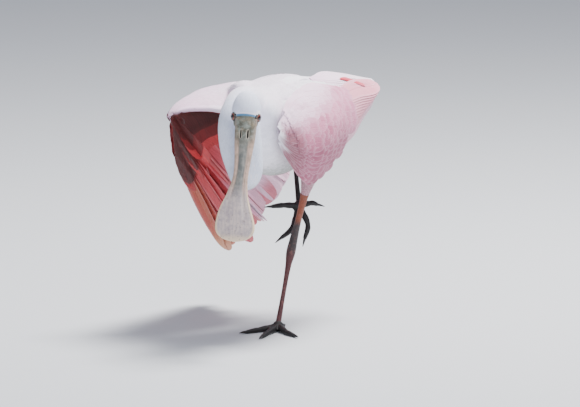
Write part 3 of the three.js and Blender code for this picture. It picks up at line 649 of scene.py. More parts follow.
def coat(name, body, span, grid, size, seed, plate, finish, slot="white_plumage", nodes=(), colours=None,
         flow=(-1, 0), lift=(-0.5, 0.25), hide=(), twist=0.2, steps=4, half=None, bald=None):
    """Small feathers that lie on a swept body between two of its stations, as one piece.

    grid is how many rows and how many in a row, size the length and the width of a feather, each a number
    or a function of its station, and plate its thickness and camber. flow is the share of its direction
    along and around the body, turned at random by up to twist, and it is raised from lift's first to its
    second number. With half 1 or -1 the feathers stand on the upper or lower half alone, evenly across it.
    They are left out inside the bodies of hide and where bald says so. Each has its patch at its root's
    place on the unrolled body.
    """
    s, v, draw = scatter(*grid, seed)
    t = span[0] + (span[1] - span[0]) * v
    angle = 2 * np.pi * s if half is None else half * np.arccos(np.clip(1 - 2 * s * half_cover[half], -1, 1))
    length, wide = ((value(t) if callable(value) else value) * np.ones_like(t) for value in size)
    length = length * draw.uniform(0.86, 1.14, len(t))
    turn = twist * draw.uniform(-1, 1, len(t))
    ahead = flow[0] * np.cos(turn) - flow[1] * np.sin(turn)
    around = flow[0] * np.sin(turn) + flow[1] * np.cos(turn)
    probe = 0.01
    ts, angles = [t], [angle]
    for gap in np.diff(stations(steps)):
        here, turned = ts[-1], angles[-1]
        low, high = np.clip(here - probe, 0, 1), np.clip(here + probe, 0, 1)
        run = np.linalg.norm(body.frame(high)[0] - body.frame(low)[0], axis=-1) / (high - low)
        swing = body.at(here, turned + probe) - body.at(here, turned - probe)
        ring = np.linalg.norm(swing, axis=-1) / (2 * probe)
        step = length * gap
        ts.append(np.clip(here + step * ahead / np.maximum(run, 1), 0.004, 0.996))
        angles.append(turned + step * around / np.maximum(ring, 3))
    raised = lift[0] + (lift[1] - lift[0]) * stations(steps)[None] * draw.uniform(0.7, 1.3, (len(t), 1))
    raised = raised + 0.1 * draw.uniform(-1, 1, (len(t), 1))
    line = body.at(np.stack(ts, 1), np.stack(angles, 1))
    keep = np.linalg.norm(line[:, -1] - line[:, 0], axis=1) > 0.4 * length
    for other in hide:
        keep &= ~other.holds(line[:, 0], -1.0) & ~other.holds(line[:, -2], -2.0)
    skin, normal = on_skin(line)
    keep &= np.linalg.norm(skin - line, axis=-1).max(1) < snap
    centre = skin + normal * raised[..., None]
    if bald:
        keep &= ~bald(centre)
    across, normal = squared_to(centre, normal)
    width = wide[:, None] * contour_shape(stations(steps))[None]
    patch = np.stack([np.clip(angle / (2 * np.pi) % 1, 0, 0.996), np.clip(t, 0, 0.996)], -1)
    centre, across, normal, width, patch = (rows[keep] for rows in (centre, across, normal, width, patch))
    tint = (colours or body_colour)(centre[:, 0]) * draw.uniform(0.94, 1.05, (len(centre), 1))
    made = plume_mesh(name, centre, across, normal, width, np.clip(tint, 0, 1), *plate, (patch, 0.003), 3)
    settle(made, finish, slot, *nodes)


# Materials

def make_group(name, **outputs):
    """A shader node group with output sockets of the given kinds. Returns it, its graph and its output
    node."""
    group = bpy.data.node_groups.new(name, "ShaderNodeTree")
    for title, kind in outputs.items():
        group.interface.new_socket(title, in_out="OUTPUT", socket_type=f"NodeSocket{kind}")
    return group, Graph(group), group.nodes.new("NodeGroupOutput")


class Graph:
    """Short calls for adding nodes and links to one node tree."""

    def __init__(self, tree):
        self.tree = tree

    def node(self, kind, **settings):
        made = self.tree.nodes.new(kind)
        for key, value in settings.items():
            setattr(made, key, value)
        return made

    def link(self, a, b):
        self.tree.links.new(a, b)

    def feed(self, socket, value):
        if isinstance(value, bpy.types.NodeSocket):
            self.link(value, socket)
        else:
            socket.default_value = value

    def math(self, operation, a, b=0.0, clamp=False):
        made = self.node("ShaderNodeMath", operation=operation, use_clamp=clamp)
        self.feed(made.inputs[0], a)
        self.feed(made.inputs[1], b)
        return made.outputs[0]

    def between(self, value, low, high, to_low=0.0, to_high=1.0):
        made = self.node("ShaderNodeMapRange", interpolation_type="SMOOTHSTEP")
        self.feed(made.inputs[0], value)
        for socket, number in zip(made.inputs[1:5], (low, high, to_low, to_high)):
            socket.default_value = number
        return made.outputs[0]

    def blend(self, share, a, b, kind="MIX"):
        """Mixes two colours, each a socket or an sRGB colour from 0 to 255."""
        made = self.node("ShaderNodeMix", data_type="RGBA", blend_type=kind)
        self.feed(made.inputs[0], share)
        for socket, colour in ((made.inputs[6], a), (made.inputs[7], b)):
            self.feed(socket, colour if isinstance(colour, bpy.types.NodeSocket) else (*linear(*colour), 1))
        return made.outputs[2]

    def noise(self, scale, detail, vector, rough=0.5):
        made = self.node("ShaderNodeTexNoise")
        for title, number in (("Scale", scale), ("Detail", detail), ("Roughness", rough)):
            made.inputs[title].default_value = number
        self.link(vector, made.inputs["Vector"])
        return made.outputs["Fac"]

    def bump(self, height, strength, distance):
        made = self.node("ShaderNodeBump")
        made.inputs["Strength"].default_value = strength
        made.inputs["Distance"].default_value = distance
        self.link(height, made.inputs["Height"])
        return made.outputs["Normal"]

    def value(self, name):
        """A number kept on the mesh."""
        return self.node("ShaderNodeAttribute", attribute_name=name).outputs["Fac"]

    def place(self):
        """The place on the object, in metres."""
        return self.node("ShaderNodeTexCoord").outputs["Object"]

    def plates(self, scale, vector, low, high):
        """The nearness to the middle of a small plate: 0 in the seams between plates and 1 on them."""
        cells = self.node("ShaderNodeTexVoronoi", feature="DISTANCE_TO_EDGE")
        cells.inputs["Scale"].default_value = scale
        self.link(vector, cells.inputs["Vector"])
        return self.between(cells.outputs["Distance"], low, high)


def new_material(name, roughness, **constants):
    """A material with its shader's plain numbers set. Returns it, its graph and the shader's inputs."""
    material = bpy.data.materials.new(name)
    material.use_nodes = True
    shader = material.node_tree.nodes["Principled BSDF"]
    shader.inputs["Roughness"].default_value = roughness
    for key, value in constants.items():
        shader.inputs[key.replace("_", " ").title().replace("Ior", "IOR")].default_value = value
    return material, Graph(material.node_tree), shader.inputs


groups = {}


def shared(build):
    """A node group that several materials use, made once."""
    if build not in groups:
        groups[build] = build()
    return groups[build]


def feather_detail():
    """Masks of a feather from its own map: u across and v along. The shaft is a narrow line at u one half,
    the barbs are fine slanting stripes either side of it, and the rim is the outer tenth of the vane."""
    group, g, out = make_group("feather_detail", Shaft="Float", Barbs="Float", Rim="Float", Height="Float")
    place = g.node("ShaderNodeUVMap", uv_map="FeatherUV")
    parts = g.node("ShaderNodeSeparateXYZ")
    g.link(place.outputs[0], parts.inputs[0])
    side = g.math("ABSOLUTE", g.math("SUBTRACT", parts.outputs[0], 0.5))
    shaft = g.between(side, 0.012, 0.034, 1.0, 0.0)
    slant = g.math("SUBTRACT", g.math("MULTIPLY", parts.outputs[1], 46.0), g.math("MULTIPLY", side, 30.0))
    where = g.node("ShaderNodeCombineXYZ")
    g.link(slant, where.inputs[0])
    g.link(g.math("MULTIPLY", side, 2.0), where.inputs[1])
    streak = g.noise(1.6, 4.0, where.outputs[0], 0.7)
    phase = g.math("ADD", slant, g.math("MULTIPLY", streak, 2.5))
    wave = g.math("SINE", g.math("MULTIPLY", phase, 2 * math.pi))
    barbs = g.math("ADD", g.math("MULTIPLY", wave, 0.22), streak)
    tip = g.between(parts.outputs[1], 0.82, 1.0)
    rim = g.math("MAXIMUM", g.between(side, 0.36, 0.5), tip)
    height = g.math("ADD", g.math("MULTIPLY", barbs, 0.35), g.math("MULTIPLY", shaft, 1.2))
    for title, value in (("Shaft", shaft), ("Barbs", barbs), ("Rim", rim), ("Height", height)):
        g.link(value, out.inputs[title])
    return group


def plumage(name, shaft_colour, shaft_share, rim_colour, rim_share, barb_share, bump, sheen=0.25):
    """Material of feathers: the tint of each, with its barbs, shaft and paler rim."""
    material, g, inputs = new_material(
        name, 0.62, sheen_weight=sheen, sheen_roughness=0.5, specular_ior_level=0.25,
    )
    detail = g.node("ShaderNodeGroup", node_tree=shared(feather_detail))
    tint = g.node("ShaderNodeAttribute", attribute_name="tint")
    shade = g.between(detail.outputs["Barbs"], 0.2, 0.9, 1.0 - barb_share, 1.0 + barb_share * 0.6)
    grey = g.node("ShaderNodeCombineColor")
    for socket in grey.inputs[:3]:
        g.link(shade, socket)
    colour = g.blend(1.0, tint.outputs["Color"], grey.outputs[0], "MULTIPLY")
    colour = g.blend(g.math("MULTIPLY", detail.outputs["Rim"], rim_share), colour, rim_colour)
    colour = g.blend(g.math("MULTIPLY", detail.outputs["Shaft"], shaft_share), colour, shaft_colour)
    g.link(colour, inputs["Base Color"])
    g.link(g.bump(detail.outputs["Height"], bump, 0.0004), inputs["Normal"])
    return material


# Plumage of the body

WHITE = linear(244, 241, 250)
# Cool bluish white of the neck and head: painted sky-lit shade on white feathers
SKY_SHADE_WHITE = linear(222, 232, 252)
# Greenish grey painted shade on the underside of the white plumage
BELLY_SHADE_GREY = linear(128, 136, 126)
BLUSH = linear(240, 206, 231)
PALE_PINK = linear(238, 168, 184)
PALE_END = linear(248, 214, 236)
DUSTY_ROSE = linear(206, 124, 136)
ROSE = linear(208, 84, 94)
CRIMSON = linear(200, 18, 44)
# Wine red of the underwing, deepened by painted shade
UNDERWING_SHADE_WINE = linear(74, 20, 20)
ORANGE_BROWN = linear(178, 88, 54)
TAN = linear(206, 150, 104)


def blotch(points, size, seed):
    """A soft value from 0 to 1 that wanders over the points: a sum of sines in seeded directions."""
    waves = 6
    draw = np.random.default_rng(seed)
    total = np.zeros(points.shape[:-1])
    for _ in range(waves):
        direction = unit(draw.normal(size=3))
        pace = 2 * np.pi / size * draw.uniform(0.6, 1.7)
        total += np.sin(points @ direction * pace + draw.uniform(0, 6.28))
    return 0.5 + total / (2 * waves)


def body_colour(points):
    """The plumage's colour at places on the body: white with a blush above and on the right wing's roof,
    greyer below as painted shade, a cool bluish white on the neck and head as painted sky-lit shade with
    a greener painted shade low on the neck, and pink on the thighs, the rump and the folded wing, the
    thighs' pink deepened by painted shade."""
    p = points - body_centre
    ahead, above, aside = p @ forward, p @ up, p @ left
    to_head = smooth(-90, -130, points[..., 1])
    # Greyer below: painted shade
    base = mix(BELLY_SHADE_GREY, WHITE, smooth(-66, -22, above))
    base = mix(base, BLUSH, 0.5 * smooth(5, 45, above) * blotch(points, 60, 1))
    base = mix(base, BLUSH, smooth(-40, -90, aside))
    base = mix(base, PALE_PINK, 0.7 * smooth(-55, -110, ahead))
    # Pink of the thighs, darkened with painted shade
    base = mix(base, linear(176, 116, 132), 0.95 * smooth(-52, -72, above) * smooth(-60, -40, ahead))
    # Bluish painted sky-lit shade on the neck and head
    base = mix(base, SKY_SHADE_WHITE, 0.8 * to_head)
    # Greener painted shade low on the neck
    base = mix(base, linear(160, 172, 166), 0.6 * smooth(-36, -62, above) * to_head)
    shade = 1 + 0.04 * (blotch(points, 18, 2) - 0.5)
    return np.clip(base * shade[..., None], 0, 1)


def folded_wing_colour(points):
    """Pink of the folded wing: nearly white towards the back, deeper low down, partly its own dusty pink and
    partly painted shade, brownish painted shade and then white at its front edge, with darker streaks of
    painted shadow between the rows of coverts."""
    p = points - body_centre
    ahead, above = p @ forward, p @ up
    base = mix(linear(218, 142, 172), linear(248, 218, 238), smooth(8, 44, above + 0.22 * ahead))
    # Deeper pink low down, partly the wing's own colour and partly painted shade
    base = mix(base, linear(172, 96, 122), smooth(20, -34, above))
    base = mix(base, linear(214, 140, 170), 0.5 * smooth(-20, -90, ahead))
    # Brownish painted shade low on the wing's front edge
    base = mix(base, linear(140, 92, 100), 0.85 * smooth(60, 90, ahead) * smooth(20, 0, above))
    # Darker streaks: painted shadow between the rows of coverts
    streak = blotch(points * [0.35, 0.35, 1.0] + up * (ahead * 0.3)[..., None], 15, 12)
    streak = 0.55 * smooth(0.52, 0.8, streak) * smooth(46, 26, above)
    base = mix(base, base * np.array([0.74, 0.5, 0.6]), streak)
    base = mix(base, WHITE, smooth(95, 101, ahead + 12 * (blotch(points, 8, 6) - 0.5)))
    return np.clip(base * (1 + 0.1 * (blotch(points, 26, 5) - 0.5))[..., None], 0, 1)


def unrolled(at, bodies):
    """Places of skin points in the unit square: each swept body has a strip, with its turn across and its
    length up, and a point goes to the body whose surface is nearest."""
    best = np.full(len(at), np.inf)
    place = np.zeros((len(at), 2))
    ts = np.linspace(0.002, 0.998, 160)
    for index, body in enumerate(bodies):
        centre, _, across, face = body.frame(ts)
        gap = np.sum(at**2, 1)[:, None] + np.sum(centre**2, 1)[None] - 2 * at @ centre.T
        near = np.argmin(gap, 1)
        d = at - centre[near]
        x, y = np.sum(d * across[near], 1), np.sum(d * face[near], 1)
        wide = body.wide(ts)[near] + 0.5
        high = np.where(y > 0, body.above(ts)[near], body.below(ts)[near]) + 0.5
        score = np.abs(np.hypot(x / wide, y / high) - 1) * np.sqrt(wide * high)
        turn = (np.arctan2(y / high, x / wide) / (2 * np.pi)) % 1
        strip = np.stack([(index + 0.02 + 0.96 * turn) / len(bodies), ts[near]], -1)
        place = np.where((score < best)[:, None], strip, place)
        best = np.minimum(best, score)
    return place


def plumage_skin(voxel, rounds):
    """The feathered flesh as one surface: the swept torso, neck, head, thighs and wing limbs, each sunk
    under its feathers, merged by a voxel remesh and smoothed. Its map unrolls the bodies into strips; a
    face that spans two strips is drawn together at its first corner."""
    limbs = [right_arm, roof, right_hand, left_forearm, left_hand, left_arm]
    piece = fused("plumage_skin", [swept_mesh(*row) for row in (
        # body, stations, places around, depth under the feathers
        (torso, 60, 48, 1.2), (mantle, 40, 40, 1.2), (nape, 40, 40, 1.2), (neck, 150, 36, 1.2),
        (head, 60, 48, 0.4), *((thigh, 40, 24, 0.8) for thigh in thighs.values()),
        *((limb, 40, 40, 1.6) for limb in limbs),
    )], voxel, rounds)
    mesh = piece.data
    at = points_of(mesh)
    aside, above = (at - body_centre) @ left, (at - body_centre) @ up
    tint = mix(body_colour(at), folded_wing_colour(at), smooth(34, 46, aside))
    # Under the right wing the skin takes the underwing's wine red, deepened by painted shade
    add_tint(mesh, mix(tint, UNDERWING_SHADE_WINE, smooth(-88, -96, aside) * smooth(25, 19, above)))
    corner = np.empty(len(mesh.loops), np.int32)
    mesh.loops.foreach_get("vertex_index", corner)
    starts = np.empty(len(mesh.polygons), np.int32)
    mesh.polygons.foreach_get("loop_start", starts)
    places = unrolled(at, [torso, neck, head, *thighs.values(), *limbs])[corner]
    first = np.repeat(places[starts], np.diff(np.append(starts, len(corner))), axis=0)
    far = np.abs(places - first).max(1) > 0.08
    places[far] = first[far]
    mesh.uv_layers.new(name="OFBake").data.foreach_set("uv", places.astype(np.float32).ravel())
    return piece


# Where the face's feathers end, in the head's frame: on the brow, and further on under the throat
brow_ahead, throat_ahead = 12, 20
brow_above, throat_above = 2, -12
chin_above = -15.5
face_reach = 46


def bare(points):
    """1 where the face has no feathers, from its feathered edge to the bill."""
    p = points - head_centre
    ahead, above = p @ head_forward, p @ head_up
    edge = brow_ahead + (throat_ahead - brow_ahead) * smooth(brow_above, throat_above, above)
    near = np.linalg.norm(p, axis=-1) < face_reach
    return smooth(-1, 1, np.minimum(ahead - edge, above - chin_above)) * near


def face_place(g):
    """How far ahead and above the head's centre a place is, and how far from it, in metres."""
    from_centre = g.node("ShaderNodeVectorMath", operation="SUBTRACT")
    g.link(g.place(), from_centre.inputs[0])
    from_centre.inputs[1].default_value = head_centre * MM
    found = []
    for axis in (head_forward, head_up):
        made = g.node("ShaderNodeVectorMath", operation="DOT_PRODUCT")
        g.link(from_centre.outputs[0], made.inputs[0])
        made.inputs[1].default_value = axis
        found.append(made.outputs["Value"])
    reach = g.node("ShaderNodeVectorMath", operation="LENGTH")
    g.link(from_centre.outputs[0], reach.inputs[0])
    return (*found, reach.outputs["Value"])


def face_skin():
    """Bare skin of the face and the bill's root: grey-green with brown and buff mottling between fine
    wrinkles."""
    group, g, out = make_group("face_skin", Color="Color", Height="Float")
    place = g.place()
    stretch = g.node("ShaderNodeMapping")
    stretch.inputs["Scale"].default_value = (1.0, 1.0, 0.45)
    g.link(place, stretch.inputs["Vector"])
    warts = g.plates(900.0, stretch.outputs[0], 0.0, 0.22)
    colour = g.blend(g.between(g.noise(170.0, 4.0, place), 0.38, 0.62), (98, 98, 84), (142, 148, 138))
    colour = g.blend(g.between(g.noise(60.0, 2.0, place), 0.5, 0.66, 0.0, 0.6), colour, (176, 152, 116))
    colour = g.blend(g.between(warts, 0.0, 1.0, 0.4, 0.0), colour, (72, 68, 54))
    g.link(colour, out.inputs["Color"])
    g.link(g.math("ADD", warts, g.math("MULTIPLY", g.noise(600.0, 3.0, place), 0.5)), out.inputs["Height"])
    return group


def skin_material():
    """White downy skin under the feathers, a blue line at the brow's edge, and the bare skin of the
    face."""
    material, g, inputs = new_material("plumage_skin", 0.75, specular_ior_level=0.25, sheen_weight=0.2)
    tint = g.node("ShaderNodeAttribute", attribute_name="tint")
    ahead, above, reach = face_place(g)
    edge = g.between(above, brow_above * MM, throat_above * MM, brow_ahead * MM, throat_ahead * MM)
    past = g.math("MINIMUM", g.math("SUBTRACT", ahead, edge), g.math("SUBTRACT", face_reach * MM, reach))
    past = g.math("MINIMUM", past, g.math("SUBTRACT", above, chin_above * MM))
    featherless = g.between(past, -0.0006, 0.0006)
    skin = g.node("ShaderNodeGroup", node_tree=shared(face_skin))
    line = g.math("MULTIPLY", g.between(past, 0.0034, 0.0018), g.between(above, 0.0, 0.006))
    colour = g.blend(g.math("MULTIPLY", line, 0.85), skin.outputs["Color"], (88, 152, 200))
    throat = g.math("MULTIPLY", g.between(above, -0.002, -0.010), g.between(ahead, 0.014, 0.024))
    colour = g.blend(g.math("MULTIPLY", throat, 0.7), colour, (190, 120, 62))
    g.link(g.blend(featherless, tint.outputs["Color"], colour), inputs["Base Color"])
    down = g.math("MULTIPLY", g.noise(900.0, 4.0, g.place()), 0.4)
    height = g.math("ADD", g.math("MULTIPLY", skin.outputs["Height"], featherless), down)
    g.link(g.bump(height, 0.7, 0.0005), inputs["Normal"])
    return material


# Flight feathers and coverts

def leaning(across, normal, tilt):
    """Feathers' directions turned about their shafts by tilt."""
    return unit(across + normal * tilt), unit(normal - across * tilt)


def laid(starts, ends, width, shape, steps, tilt):
    """Feathers on the left wing's sheet between rows of [ahead, share, lift], bent with it and leaning by
    tilt."""
    line = between_rows(starts, ends, steps)
    centre, normal = on_sheet(line[..., 0], line[..., 1], line[..., 2])
    return centre, *leaning(*squared_to(centre, normal), tilt), widths(width, shape, steps, len(starts))


def fan(ks, root, tip, face, bow, width, rise, layer, steps, span=(0, 1), lift=(0, 0), shape=quill_shape):
    """Feathers on the ruled sheet between a line of roots and a line of tips, each one layer from the next.
    They run over a span of the sheet's length, raised from it by lift, and bow is how far the sheet swells
    midway."""
    i = np.asarray(ks, float)[:, None]
    t = span[0] + (span[1] - span[0]) * stations(steps)[None]

    def shaft(k, t):
        k, t = np.broadcast_arrays(k, t)
        raised = lift[0] + (lift[1] - lift[0]) * smooth(span[0], span[1], t)
        return mix(root(k), tip(k), t) + face * (4 * bow * t * (1 - t) + raised)[..., None]
    tangent = unit(shaft(i, t + 0.01) - shaft(i, t - 0.01))
    across = shaft(i + 0.5, t) - shaft(i - 0.5, t)
    across -= tangent * np.sum(across * tangent, -1, keepdims=True)
    reach = np.linalg.norm(across, axis=-1, keepdims=True)
    across = across / reach
    normal = np.cross(across, tangent)
    normal = normal * np.sign(np.sum(normal * face, -1, keepdims=True))
    across, normal = leaning(across, normal, -rise * np.minimum(0.4, layer / reach))
    return shaft(i, t), across, normal, widths(width, shape, steps, len(i))


def listed(points, shift=(0, 0, 0)):
    """A place in a list of shifted points by its index, running on past both ends."""
    points = np.asarray(points, float) + shift

    def at(k):
        i = np.clip(np.floor(k).astype(int), 0, len(points) - 2)
        return mix(points[i], points[i + 1], k - i)
    return at


def along_limb(start, end, first, step, shift=(0, 0, 0)):
    """The place of root k on a limb: first plus k steps of its length, then shifted."""
    return lambda k: mix(start, end, first + step * np.asarray(k, float)) + shift


# The right wing's ruled sheets: the lines of the quills' roots and of their tips, the hand's from the
# innermost outwards, the forearm's from the wrist inwards and the arm's from the elbow inwards, then
# the face, the bow and the side to which the quills lean
secondary_face = np.array([-0.78, 0.62, 0.05])
right_sheets = {
    "hand": (
        along_limb(wrist_right, finger_right, 0.05, 0.1),
        listed([
            (-17, 112, 133), (-21, 129, 130), (-26, 148, 127), (-33, 168, 118), (-38, 188, 92),
            (-47, 199, 97), (-55, 212, 93), (-63, 226, 83), (-68, 234, 74), (-77, 228, 82),
        ]),
        right_hand_face, -5, -1,
    ),
    "forearm": (
        along_limb(wrist_right, elbow_right, 0.08, 0.88 / 7, 3 * secondary_face),
        listed([
            (-17, 115, 144), (-15, 120, 156), (-1, 126, 158), (5, 133, 167), (9, 142, 175), (17, 152, 185),
            (19, 166, 196), (20, 182, 209),
        ], 3 * secondary_face),
        secondary_face, 6, 1,
    ),
    "arm": (
        along_limb(elbow_right, shoulder_right, 0.02, 0.22, (-2.0, 0, 5)),
        listed([(28, 194, 236), (33, 202, 256), (36, 202, 278)]), np.array([-0.6, 0.2, 0.77]), 6, 1,
    ),
}


def right_fan(part, ks, width, layer, steps, **laying):
    """Feathers on the sheet of one part of the right wing."""
    root, tip, face, bow, rise = right_sheets[part]
    return fan(ks, root, tip, face, bow, width, rise, layer, steps, **laying)


def quill_colours(data, root_colour, tip_colour, seed):
    """Colours of feathers, from root to tip, each feather a little different."""
    count, steps = data[3].shape
    draw = np.random.default_rng(seed)
    colour = mix(root_colour, tip_colour, np.broadcast_to(stations(steps), (count, steps)))
    return colour * draw.uniform(0.9, 1.08, (count, 1, 1))


# Bill

bill_length = 163.0
bill_root = np.array([-40.5, -190, 309])
bill_direction = unit([-0.106, -0.321, -0.941])
bill_left = squared(np.array([0.99, -0.14, 0]), bill_direction)
bill_up = np.cross(bill_direction, bill_left)
bill_half = sized([
    [0, 14.5], [0.165, 13.6], [0.3, 11.4], [0.42, 10], [0.5, 10.4], [0.62, 14.3], [0.7, 18.8], [0.785, 23.4],
    [0.88, 26.2], [0.94, 23.4], [0.978, 16.2], [0.993, 9], [1, 1.5],
])
bill_drift = sized([[0, 0], [0.4, 0.5], [0.7, -2.2], [0.87, 0], [1, 1]])
bill_sag = sized([[0, 0], [0.5, -2.5], [1, 0]])
flat_depth = 0.6
half_gap = 0.25
halves = {
    # share of the bill's length, share of its width, depth
    "upper": (1.0, 1.0, sized([[0, 11], [0.15, 8.5], [0.4, 5.2], [0.7, 3.4], [0.95, 3], [1, 2]])),
    "lower": (0.985, 0.95, sized([[0, 9], [0.15, 7], [0.4, 4.4], [0.7, 3], [0.95, 2.4], [1, 1.6]])),
}


def ridge(x, middle, reach, power=2):
    """A raised line along the bill: 1 at its middle, falling away as a power of the distance over its
    reach."""
    return np.exp(-(((x - middle) / reach) ** power))


def mandible(half, steps, around):
    """One half of the bill: at share s, a half oval as wide as the bill, flat where the halves meet. The
    upper half has a flattened ridge with a groove either side of it, slit nostrils near its root and a thin
    rim round the spoon."""
    reach, breadth, depth = halves[half]
    s = (1 - (1 - np.linspace(0, 1, steps)) ** 1.35) * reach
    s, angle = np.meshgrid(s, np.linspace(0, 2 * np.pi, around, endpoint=False), indexing="ij")
    x, y = np.cos(angle), np.sin(angle)
    wide = bill_half(s) * breadth
    tip = np.sqrt(np.clip((1 - s / reach) / 0.04, 0, 1))
    outer = y > 0
    high = np.where(outer, depth(s) * np.sign(y) * np.abs(y) ** 0.8, flat_depth * y)
    slit = np.zeros_like(x)
    if half == "upper":
        crest = 0.9 * ridge(x, 0, 0.3, 4) * smooth(0.75, 0.3, s)
        groove = 0.9 * ridge(np.abs(x), 0.55, 0.12) * smooth(0.03, 0.12, s) * smooth(0.95, 0.6, s)
        rim = 0.5 * ridge(np.abs(x), 0.93, 0.05) * smooth(0.5, 0.7, s)
        slit = ridge(np.abs(x) * wide, 4.7, 1.0) * smooth(0.088, 0.105, s) * smooth(0.172, 0.155, s) * outer
        high = high + outer * (crest - groove + rim) - 2.0 * slit
    high = (high + flat_depth + half_gap) * (1 if half == "upper" else -1) * (0.4 + 0.6 * tip)
    rings = (
        bill_root + bill_direction * (s * bill_length)[..., None]
        + bill_left * (bill_drift(s) + x * wide)[..., None] + bill_up * (bill_sag(s) + high)[..., None]
    )
    values = {"along": np.append(s, [0, 1]), "side": np.append(x, [0, 0]), "slit": np.append(slit, [0, 0])}
    return new_mesh(f"bill_{half}_horn", *tube(rings), 70, values=values)


def bill_material():
    """Horn of the bill: wrinkled skin at the root, a grey-blue stripe down the middle with pinkish cream
    sides, and a pale pinkish grey spoon with dark specks and a cream rim."""
    material, g, inputs = new_material("bill_horn", 0.42, specular_ior_level=0.45, coat_weight=0.1)
    along, slit = g.value("along"), g.value("slit")
    side = g.math("ABSOLUTE", g.value("side"))
    place = g.place()
    skin = g.node("ShaderNodeGroup", node_tree=shared(face_skin))
    mottle = g.noise(150.0, 5.0, place)
    stripe = g.blend(g.between(mottle, 0.35, 0.65), (104, 106, 102), (140, 138, 130))
    sides = g.blend(g.between(mottle, 0.4, 0.65), (206, 172, 154), (170, 146, 128))
    middle = g.blend(g.between(side, 0.36, 0.6), stripe, sides)
    spoon = g.blend(g.between(mottle, 0.36, 0.64), (170, 156, 158), (196, 180, 174))
    veins = g.node("ShaderNodeTexWave", wave_type="BANDS", bands_direction="X")
    for title, number in (("Scale", 62.0), ("Distortion", 5.0), ("Detail", 3.0)):
        veins.inputs[title].default_value = number
    g.link(place, veins.inputs["Vector"])
    spoon = g.blend(g.between(veins.outputs["Fac"], 0.6, 0.95, 0.0, 0.25), spoon, (138, 134, 146))
    spoon = g.blend(g.between(side, 0.84, 0.95), spoon, (222, 200, 168))
    colour = g.blend(g.between(along, 0.5, 0.7), middle, spoon)
    colour = g.blend(g.between(along, 0.93, 0.99), colour, (222, 200, 174))
    specks = g.between(g.noise(330.0, 2.0, place), 0.6, 0.68)
    specks = g.math("MULTIPLY", specks, g.between(along, 0.4, 0.6, 0.2, 0.5))
    colour = g.blend(specks, colour, (116, 104, 100))
    root = g.math("MULTIPLY", g.between(along, 0.3, 0.1), g.between(side, 1.3, 0.6, 0.3, 1.0))
    colour = g.blend(root, colour, skin.outputs["Color"])
    colour = g.blend(g.between(slit, 0.05, 0.2), colour, (196, 186, 166))
    colour = g.blend(g.between(slit, 0.22, 0.45), colour, (12, 9, 9))
    g.link(colour, inputs["Base Color"])
    fine = g.math("MULTIPLY", g.noise(560.0, 4.0, place), 0.4)
    height = g.math("ADD", g.math("MULTIPLY", skin.outputs["Height"], root), fine)
    g.link(g.bump(height, 0.6, 0.0005), inputs["Normal"])
    return material


# Eyes

eye_radius = 6.5
eyes = {
    # centre, and where the eye looks: outwards and a little ahead
    title: (on_head(13, sign * 13.2, 4), unit(head_left * sign + head_forward * 0.3 + head_up * 0.66))
    for title, sign in (("right", -1), ("left", 1))
}


def turning(side, over, angle):
    """The direction at an angle from side towards over."""
    return side * np.cos(angle)[..., None] + over * np.sin(angle)[..., None]


def eye_ball(title, steps, around):
    """An eye: a ball whose front is raised a little by the cornea, with the angle from its axis kept on
    it."""
    centre, axis = eyes[title]
    side = unit(np.cross(axis, [0.3, 0.2, 1]))
    polar = np.linspace(0.01, np.pi - 0.01, steps)
    p, a = np.meshgrid(polar, np.linspace(0, 2 * np.pi, around, endpoint=False), indexing="ij")
    out = eye_radius * (1 + 0.04 * np.exp(-((p / 0.55) ** 4)))
    rings = centre + out[..., None] * turning(axis, turning(side, np.cross(axis, side), a), p)
    return new_mesh(f"eye_{title}_ball", *tube(rings), 180, values={"polar": np.append(p, [0, np.pi])})


def eye_material():
    """A wet eye: black pupil, orange-red iris with a darker edge, and dark skin round it."""
    material, g, inputs = new_material("eye", 0.06, specular_ior_level=0.6, coat_weight=0.6)
    polar = g.value("polar")
    iris = g.blend(g.noise(900.0, 3.0, g.place()), (176, 52, 20), (96, 22, 10))
    colour = g.blend(g.between(polar, 0.50, 0.54), (4, 3, 3), iris)
    colour = g.blend(g.between(polar, 0.62, 0.78), colour, (30, 14, 12))
    g.link(colour, inputs["Base Color"])
    return material


def eye_lids(title, steps, around):
    """Eyelids: a fleshy ring round the eye, higher than wide where the lids close over the ball. At angle a
    round the eye's axis the ring's centre stands at the polar angle of the opening, and its round section
    rests on the ball."""
    centre, axis = eyes[title]
    side = squared(head_forward, axis)
    a, b = (np.linspace(0, 2 * np.pi, count, endpoint=False) for count in (steps, around))
    a, b = np.meshgrid(a, b, indexing="ij")
    opening = 0.80 + 0.10 * np.cos(2 * a)
    thick = 1.15 + 0.2 * np.cos(2 * a)
    polar = opening + (thick / eye_radius) * np.cos(b) * 1.15
    out = eye_radius - 0.35 + thick * 0.62 * np.sin(b)
    rings = centre + out[..., None] * turning(axis, turning(side, np.cross(axis, side), a), polar)
    i, j = np.meshgrid(np.arange(steps), np.arange(around), indexing="ij")
    next_i, next_j = (i + 1) % steps, (j + 1) % around
    corners = (i * around + j, next_i * around + j, next_i * around + next_j, i * around + next_j)
    points = rings.reshape(-1, 3)
    return new_mesh(f"eye_{title}_lids", points, outward(points, np.stack(corners, -1).reshape(-1, 4)), 180)


def lid_material():
    """Bare skin of the lids, grey-green mottled with dark brown."""
    material, g, inputs = new_material("lid_skin", 0.5, specular_ior_level=0.4)
    place = g.place()
    colour = g.blend(g.between(g.noise(500.0, 3.0, place), 0.4, 0.6), (92, 90, 80), (52, 46, 42))
    g.link(colour, inputs["Base Color"])
    g.link(g.bump(g.noise(700.0, 3.0, place), 0.4, 0.0003), inputs["Normal"])
    return material


# Legs and feet

